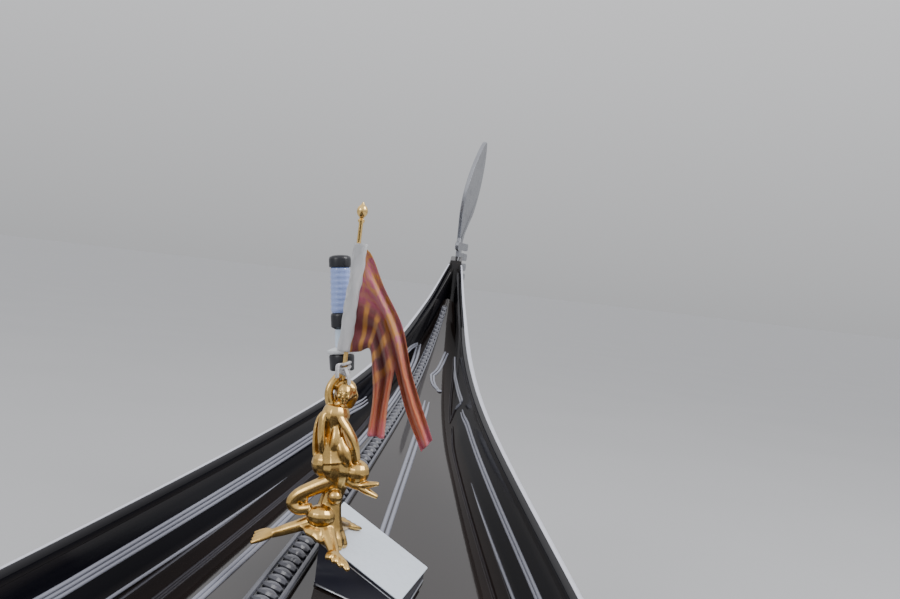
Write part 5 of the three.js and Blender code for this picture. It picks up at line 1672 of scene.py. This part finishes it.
# Side chairs: turned legs, a round seat board and a spindled back. Each chair's side and place across
CHAIRS = (("port", PORT, 0.285), ("starboard", STARBOARD, -0.31))
# Their place along the boat, the seat's level, the board's half length, half breadth and half thickness
CHAIR_X, CHAIR_SEAT, CHAIR_HALF, CHAIR_DEPTH, CHAIR_BOARD = 1.02, 0.33, 0.2, 0.13, 0.011
# The back: how far it turns each way, its radius across the boat, how much longer that is along it, how far
# inboard its centre is, its rail's height over the seat and fall to the ends, the number of spindles
CHAIR_SPREAD, CHAIR_REACH, BACK_WIDER, BACK_INBOARD = 1.15, 0.191, 0.008, 0.06
BACK_TALL, BACK_FALL, SPINDLES = 0.25, 0.11, 13
# The legs' places from the chair's middle, and their rows of radius and height
LEG_ALONG, LEG_ACROSS = 0.168, 0.1
CHAIR_LEG = [
    (0.009, 0.0), (0.013, 0.004), (0.0115, 0.02), (0.0085, 0.03), (0.0105, 0.06), (0.0145, 0.1),
    (0.0105, 0.13), (0.0135, 0.137), (0.0135, 0.143), (0.0105, 0.15), (0.015, 0.165), (0.015, 0.218)]
# A spindle's rows: radius, share of its height
SPINDLE = [
    (0.0075, 0.0), (0.0085, 0.06), (0.0045, 0.1), (0.0075, 0.16), (0.0085, 0.3), (0.005, 0.44),
    (0.0085, 0.48), (0.0085, 0.52), (0.005, 0.56), (0.0085, 0.7), (0.0075, 0.84), (0.0045, 0.9),
    (0.0075, 1.0)]


def chair_ring(middle, side, a, r, z):
    """A point of the round back, at that angle and radius."""
    along, across = math.sin(a) * (r + BACK_WIDER), math.cos(a) * r - BACK_INBOARD
    return Vector((CHAIR_X + along, middle + side * across, z))


def rail_height(a):
    return CHAIR_SEAT + BACK_TALL - BACK_FALL * abs(a / CHAIR_SPREAD) ** 1.5


def side_chair(middle, side):
    def bent(height_at, radius, sides):
        angles = spread(-CHAIR_SPREAD, CHAIR_SPREAD, 40)
        return tube([chair_ring(middle, side, a, CHAIR_REACH, height_at(a)) for a in angles], radius, sides)

    parts = [lathe(CHAIR_LEG, (CHAIR_X + i * LEG_ALONG, middle + j * LEG_ACROSS, FLOOR_TOP + 0.0005), 20)
             for i in (-1, 1) for j in (-1, 1)]
    corners = rectangle((CHAIR_X - CHAIR_HALF, middle - CHAIR_DEPTH),
                        (CHAIR_X + CHAIR_HALF, middle + CHAIR_DEPTH))
    parts.append(plate(rounded_outline(corners, 3, 0.14), CHAIR_BOARD, 0.005,
                       lambda a, b, c: Vector((a, b, CHAIR_SEAT - CHAIR_BOARD + c))))
    parts.append(bent(lambda a: rail_height(a) - 0.013, 0.0125, 14))
    parts.append(bent(lambda a: CHAIR_SEAT + 0.008, 0.0105, 12))
    for k, a in enumerate(spread(-CHAIR_SPREAD, CHAIR_SPREAD, SPINDLES)):
        tall = rail_height(a) - 0.014 - CHAIR_SEAT
        thick = 1.35 if k in (0, SPINDLES - 1) else 1.0
        profile = [(r * thick, h * tall) for r, h in SPINDLE]
        parts.append(lathe(profile, chair_ring(middle, side, a, CHAIR_REACH, CHAIR_SEAT), 14))
    return merged(parts)


def chair_gilding(middle, side):
    """A ball at each end of the back's rail, and a flower on both sides of its crown."""
    ends = [chair_ring(middle, side, a * 1.03, CHAIR_REACH, rail_height(a) - 0.011)
            for a in (-CHAIR_SPREAD, CHAIR_SPREAD)]
    parts = [ball(end, (0.0175, 0.0175, 0.0165)) for end in ends]
    crown = chair_ring(middle, side, 0, 0.2, rail_height(0) + 0.001)
    for outward, aside in ((-side, -0.02), (side, 0.002)):
        parts.append(rosette(crown + Vector((0, side * aside, -0.012)), 0.022, 8, Vector((0, outward, 0))))
    return merged(parts)


for side_name, side, middle in CHAIRS:
    piece(f"chair_frame_{side_name}", side_chair(middle, side), DECK_PAINT,
          replaces=[f"side_chair_{side_name}"])
    piece(f"chair_gilding_{side_name}", chair_gilding(middle, side), GILT)
    upholster(f"chair_pad_{side_name}", f"side_chair_cushion_{side_name}", (0.3, 0.22, 0.06), 0.08, (2, 1),
              Matrix.Translation((CHAIR_X, middle - side * 0.03, 0.3606)), 0.0075, 7)

# Gilt sea-horses on the rails, cast from limbs: points forward of the foot and up, radii, flatness
HORSE_X, SPINES = -0.56, 8
HORSE_LIMBS = [
    ([(0.044, 0.012), (0.045, 0.045), (0.052, 0.08), (0.05, 0.112), (0.036, 0.14), (0.04, 0.168)],
     [0.013, 0.0145, 0.0148, 0.0148, 0.0135, 0.012], 1.5),
    ([(0.04, 0.166), (0.056, 0.168), (0.074, 0.156), (0.094, 0.146)], [0.014, 0.0135, 0.009, 0.007], 1.1),
    ([(0.046, 0.04), (0.02, 0.022), (-0.012, 0.02), (-0.04, 0.032), (-0.052, 0.05), (-0.044, 0.062),
      (-0.034, 0.055)], [0.0145, 0.013, 0.01, 0.0085, 0.007, 0.005, 0.003], 1.2),
]


def seahorse(side):
    foot = Vector((HORSE_X, sheer_y(side, HORSE_X) - side * 0.022, sheer(HORSE_X + 0.04) + 0.0015))

    def bar(points, radii, flat=1.0, sides=14, count=26):
        return tapered([foot + Vector(p) for p in points], radii, flat, sides, count)

    base = rounded_outline(rectangle((0.0, -0.0145), (0.09, 0.0145)), 2, 0.2)
    parts = [plate(base, 0.006, 0.002, lambda a, b, c: foot + Vector((a, b, 0.006 + c)))]
    parts += [bar([(ahead, 0, up) for ahead, up in line], radii, flat) for line, radii, flat in HORSE_LIMBS]
    for t in spread(0, 1, SPINES):
        root = Vector((0.026 - 0.006 * math.sin(t * 3), 0, 0.085 + 0.1 * t))
        spine = [root + Vector((0.012, 0, 0)), root, root + Vector((-0.014, 0, 0.008))]
        parts.append(bar(spine, [0.007, 0.006, 0.002], 0.8, 10, 8))
    for way in (-1, 1):
        parts.append(bar([(0.062, way * 0.008, 0.105), (0.078, way * 0.011, 0.1), (0.086, way * 0.01, 0.082),
                          (0.078, way * 0.009, 0.07)], [0.008, 0.0065, 0.005, 0.003]))
        parts.append(bar([(0.036, way * 0.007, 0.178), (0.03, way * 0.008, 0.19), (0.028, way * 0.008, 0.2)],
                         [0.005, 0.004, 0.0015], 1.0, 8, 8))
        parts.append(ball(foot + Vector((0.058, way * 0.0105, 0.171)), (0.003, 0.0025, 0.003)))
    return merged(parts)


for side_name, side in SIDES:
    horse = piece(f"seahorse_casting_{side_name}", seahorse(side), GILT,
                  replaces=[f"seahorse_{side_name}"])
    cast(horse, 0.0019, 2)
    finish_piece(horse, GILT, sharp=180)

# Rowing gear: the oar's rows are the distance along it from the rowlock, its half width and half thickness
PIVOT = Vector((-2.44, -0.64, 1.15))
OAR_DIP = math.radians(24.2)
OAR_ROWS = [
    (-1.45, 0.012, 0.012), (-1.446, 0.0155, 0.0155), (-1.4, 0.019, 0.019), (-1.33, 0.0175, 0.0175),
    (-0.7, 0.022, 0.022), (0.0, 0.025, 0.025), (0.9, 0.024, 0.024), (1.3, 0.03, 0.02), (1.5, 0.052, 0.015),
    (1.9, 0.068, 0.012), (2.55, 0.076, 0.009), (2.62, 0.072, 0.0075), (2.64, 0.062, 0.006),
]


def oar():
    along = Vector((-math.cos(OAR_DIP), 0, -math.sin(OAR_DIP)))
    flat = along.cross(UP).normalized()
    rise = flat.cross(along)
    wide, thick = table_curve(OAR_ROWS, 1), table_curve(OAR_ROWS, 2)
    sections = []
    # Closer together at both ends, where it rounds off
    for place in [-1.45, -1.449, *spread(-1.446, 2.62, 150), 2.632, 2.64]:
        w, t = wide(place), thick(place)
        sections.append([PIVOT + along * place + rise * (w * math.cos(a)) + flat * (t * math.sin(a))
                         for a in turns(36)])
    return skin(sections)


piece("oar_wood", oar(), BEECH, "oar", ["oar"], sharp=60)

# The rowlock's limbs, as the frame has them: from its foot or the pivot, how far forward, to port and up,
# then half length and half breadth
FORCOLA_FOOT = sheer_y(STARBOARD, PIVOT.x) + 0.082
foot_at = Vector((PIVOT.x, FORCOLA_FOOT, sheer(PIVOT.x)))
FORCOLA_LIMBS = [
    [(foot_at, -0.006, 0.0, -0.06, 0.052, 0.017), (foot_at, -0.006, 0.0, 0.006, 0.054, 0.018),
     (foot_at, 0.008, -0.02, 0.12, 0.062, 0.024), (foot_at, 0.02, -0.06, 0.24, 0.06, 0.026),
     (PIVOT, 0.01, 0.006, -0.12, 0.05, 0.03), (PIVOT, 0.0, -0.004, -0.058, 0.04, 0.03)],
    [(PIVOT, 0.024, -0.036, -0.122, 0.024, 0.016), (PIVOT, 0.022, -0.054, -0.066, 0.02, 0.017),
     (PIVOT, 0.02, -0.058, 0.02, 0.017, 0.015), (PIVOT, 0.018, -0.057, 0.062, 0.012, 0.011)],
    [(foot_at, -0.07, 0.0, 0.02, 0.014, 0.012), (foot_at, -0.062, -0.012, 0.12, 0.022, 0.016),
     (foot_at, -0.03, -0.044, 0.21, 0.04, 0.02)],
]


def forcola():
    """The carved rowlock: smooth ovals through the frame's own sections, cast into one."""
    parts = []
    for rows in FORCOLA_LIMBS:
        places = smooth_line([start + Vector(row) for start, *row, _, _ in rows], 30)
        sizes = smooth_line([(row[-2], row[-1], 0) for row in rows], 30)
        parts.append(skin([[p + Vector((q.x * math.cos(a), q.y * math.sin(a), 0)) for a in turns(32)]
                           for p, q in zip(places, sizes)]))
    return merged(parts)


rowlock = piece("forcola_wood", forcola(), WALNUT, replaces=["forcola"])
cast(rowlock, 0.003, 6)
finish_piece(rowlock, WALNUT, sharp=180)

# The rower's platform and its treads: number, half length, distance of the outer ones from its ends, radius
PLATFORM_AFT, PLATFORM_FORE, PLATFORM_THICK = -2.95, -2.12, 0.016
TREADS, TREAD_HALF, TREAD_INSET, TREAD_RADIUS = 9, 0.235, 0.05, 0.011


def platform_top(x):
    low, high = (AFT.at(end, 0).z + PLATFORM_THICK for end in (PLATFORM_AFT, PLATFORM_FORE))
    return low + (high - low) * (x - PLATFORM_AFT) / (PLATFORM_FORE - PLATFORM_AFT)


treads = []
for x in spread(PLATFORM_AFT + TREAD_INSET, PLATFORM_FORE - TREAD_INSET, TREADS):
    line = [(x, y, platform_top(x) + 0.001) for y in spread(-TREAD_HALF, TREAD_HALF, 12)]
    treads.append(tube(line, TREAD_RADIUS, flat=0.5))
piece("platform_treads", merged(treads), BOARDS)

# Camera, floor and light

CAMERA_AT = Vector((1.263, -0.306, 1.253))
YAW, PITCH, ROLL = (math.radians(a) for a in (2.72, -0.75, 6.65))
FOCAL_PIXELS, FRAME_WIDE, SENSOR = 1041.0, 900, 36.0


def place_camera():
    ahead = Vector((math.cos(YAW) * math.cos(PITCH), math.sin(YAW) * math.cos(PITCH), math.sin(PITCH)))
    level = Vector((math.sin(YAW), -math.cos(YAW), 0))
    rise = level.cross(ahead)
    right = level * math.cos(ROLL) + rise * math.sin(ROLL)
    up = rise * math.cos(ROLL) - level * math.sin(ROLL)
    data = bpy.data.cameras.new("photo_camera")
    data.sensor_fit, data.sensor_width = "HORIZONTAL", SENSOR
    data.lens = FOCAL_PIXELS / FRAME_WIDE * SENSOR
    data.clip_start, data.clip_end = 0.05, 2000
    made = placed("photo_camera", data)
    made.matrix_world = Matrix((right, up, -ahead)).transposed().to_4x4()
    made.location = CAMERA_AT
    bpy.context.scene.camera = made


# How far the floor reaches, and how far along the hull its cut runs
FLOOR_REACH, CUT_HALF = 900.0, 3.2


def water_floor():
    """The floor lies at the waterline and is cut out round the hull, so that the boat stays hollow."""
    def edge(side, x):
        x = clamp(x, -CUT_HALF, CUT_HALF)
        t = (WATERLINE - low_edge(x)) / (plank_top(x) - low_edge(x))
        return outer_y(side, x, clamp(t)) - side * PLANK / 2

    cut = stations(-CUT_HALF, CUT_HALF)
    points, faces = [], []
    for side in (PORT, STARBOARD):
        base = len(points)
        for x in [-FLOOR_REACH, *cut, FLOOR_REACH]:
            points += [(x, edge(side, x), WATERLINE), (x, side * FLOOR_REACH, WATERLINE)]
        for i in range(len(cut) + 1):
            a = base + 2 * i
            faces.append((a, a + 1, a + 3, a + 2) if side == STARBOARD else (a, a + 2, a + 3, a + 1))
    for x0, x1, end in ((-FLOOR_REACH, -CUT_HALF, -CUT_HALF), (CUT_HALF, FLOOR_REACH, CUT_HALF)):
        base = len(points)
        points += [(a, b, WATERLINE) for a, b in rectangle((x0, edge(STARBOARD, end)), (x1, edge(PORT, end)))]
        faces.append(tuple(range(base, base + 4)))
    mesh = bpy.data.meshes.new("studio_floor")
    mesh.from_pydata(points, [], faces)
    floor = placed("studio_floor", mesh)
    paint = Paint("studio_floor_paint", Roughness=0.85)
    paint.set(Base_Color=paint.mix(paint.noise(0.8, 3.0), (0.43, 0.435, 0.445), (0.46, 0.465, 0.475)))
    mesh.materials.append(paint.material)


def soft_light(name, place, target, size, power):
    data = bpy.data.lights.new(name, "AREA")
    data.shape, data.size, data.energy = "DISK", size, power
    lamp = placed(name, data)
    lamp.location = place
    lamp.rotation_euler = (Vector(target) - Vector(place)).to_track_quat("-Z", "Y").to_euler()


# The sky's colours: at the horizon, and from that height up
SKY_LOW, SKY_HIGH, SKY_AT, SKY_STRENGTH = (0.552, 0.557, 0.572, 1), (1.25, 1.25, 1.28, 1), 0.6, 0.9


def studio():
    world = bpy.data.worlds.new("studio_world")
    bpy.context.scene.world = world
    world.use_nodes = True
    tree = world.node_tree
    back = tree.nodes["Background"]
    where = tree.nodes.new("ShaderNodeTexCoord")
    split = tree.nodes.new("ShaderNodeSeparateXYZ")
    ramp = tree.nodes.new("ShaderNodeValToRGB")
    for stop, place, colour in zip(ramp.color_ramp.elements, (0.0, SKY_AT), (SKY_LOW, SKY_HIGH)):
        stop.position, stop.color = place, colour
    tree.links.new(where.outputs["Generated"], split.inputs[0])
    tree.links.new(split.outputs["Z"], ramp.inputs[0])
    tree.links.new(ramp.outputs[0], back.inputs["Color"])
    back.inputs["Strength"].default_value = SKY_STRENGTH
    soft_light("key", (2.0, -5.0, 6.5), (2.5, 0, 0.6), 4.5, 420)
    soft_light("fill", (-3.0, 5.5, 5.0), (0, 0, 0.6), 4.0, 220)


place_camera()
water_floor()
studio()
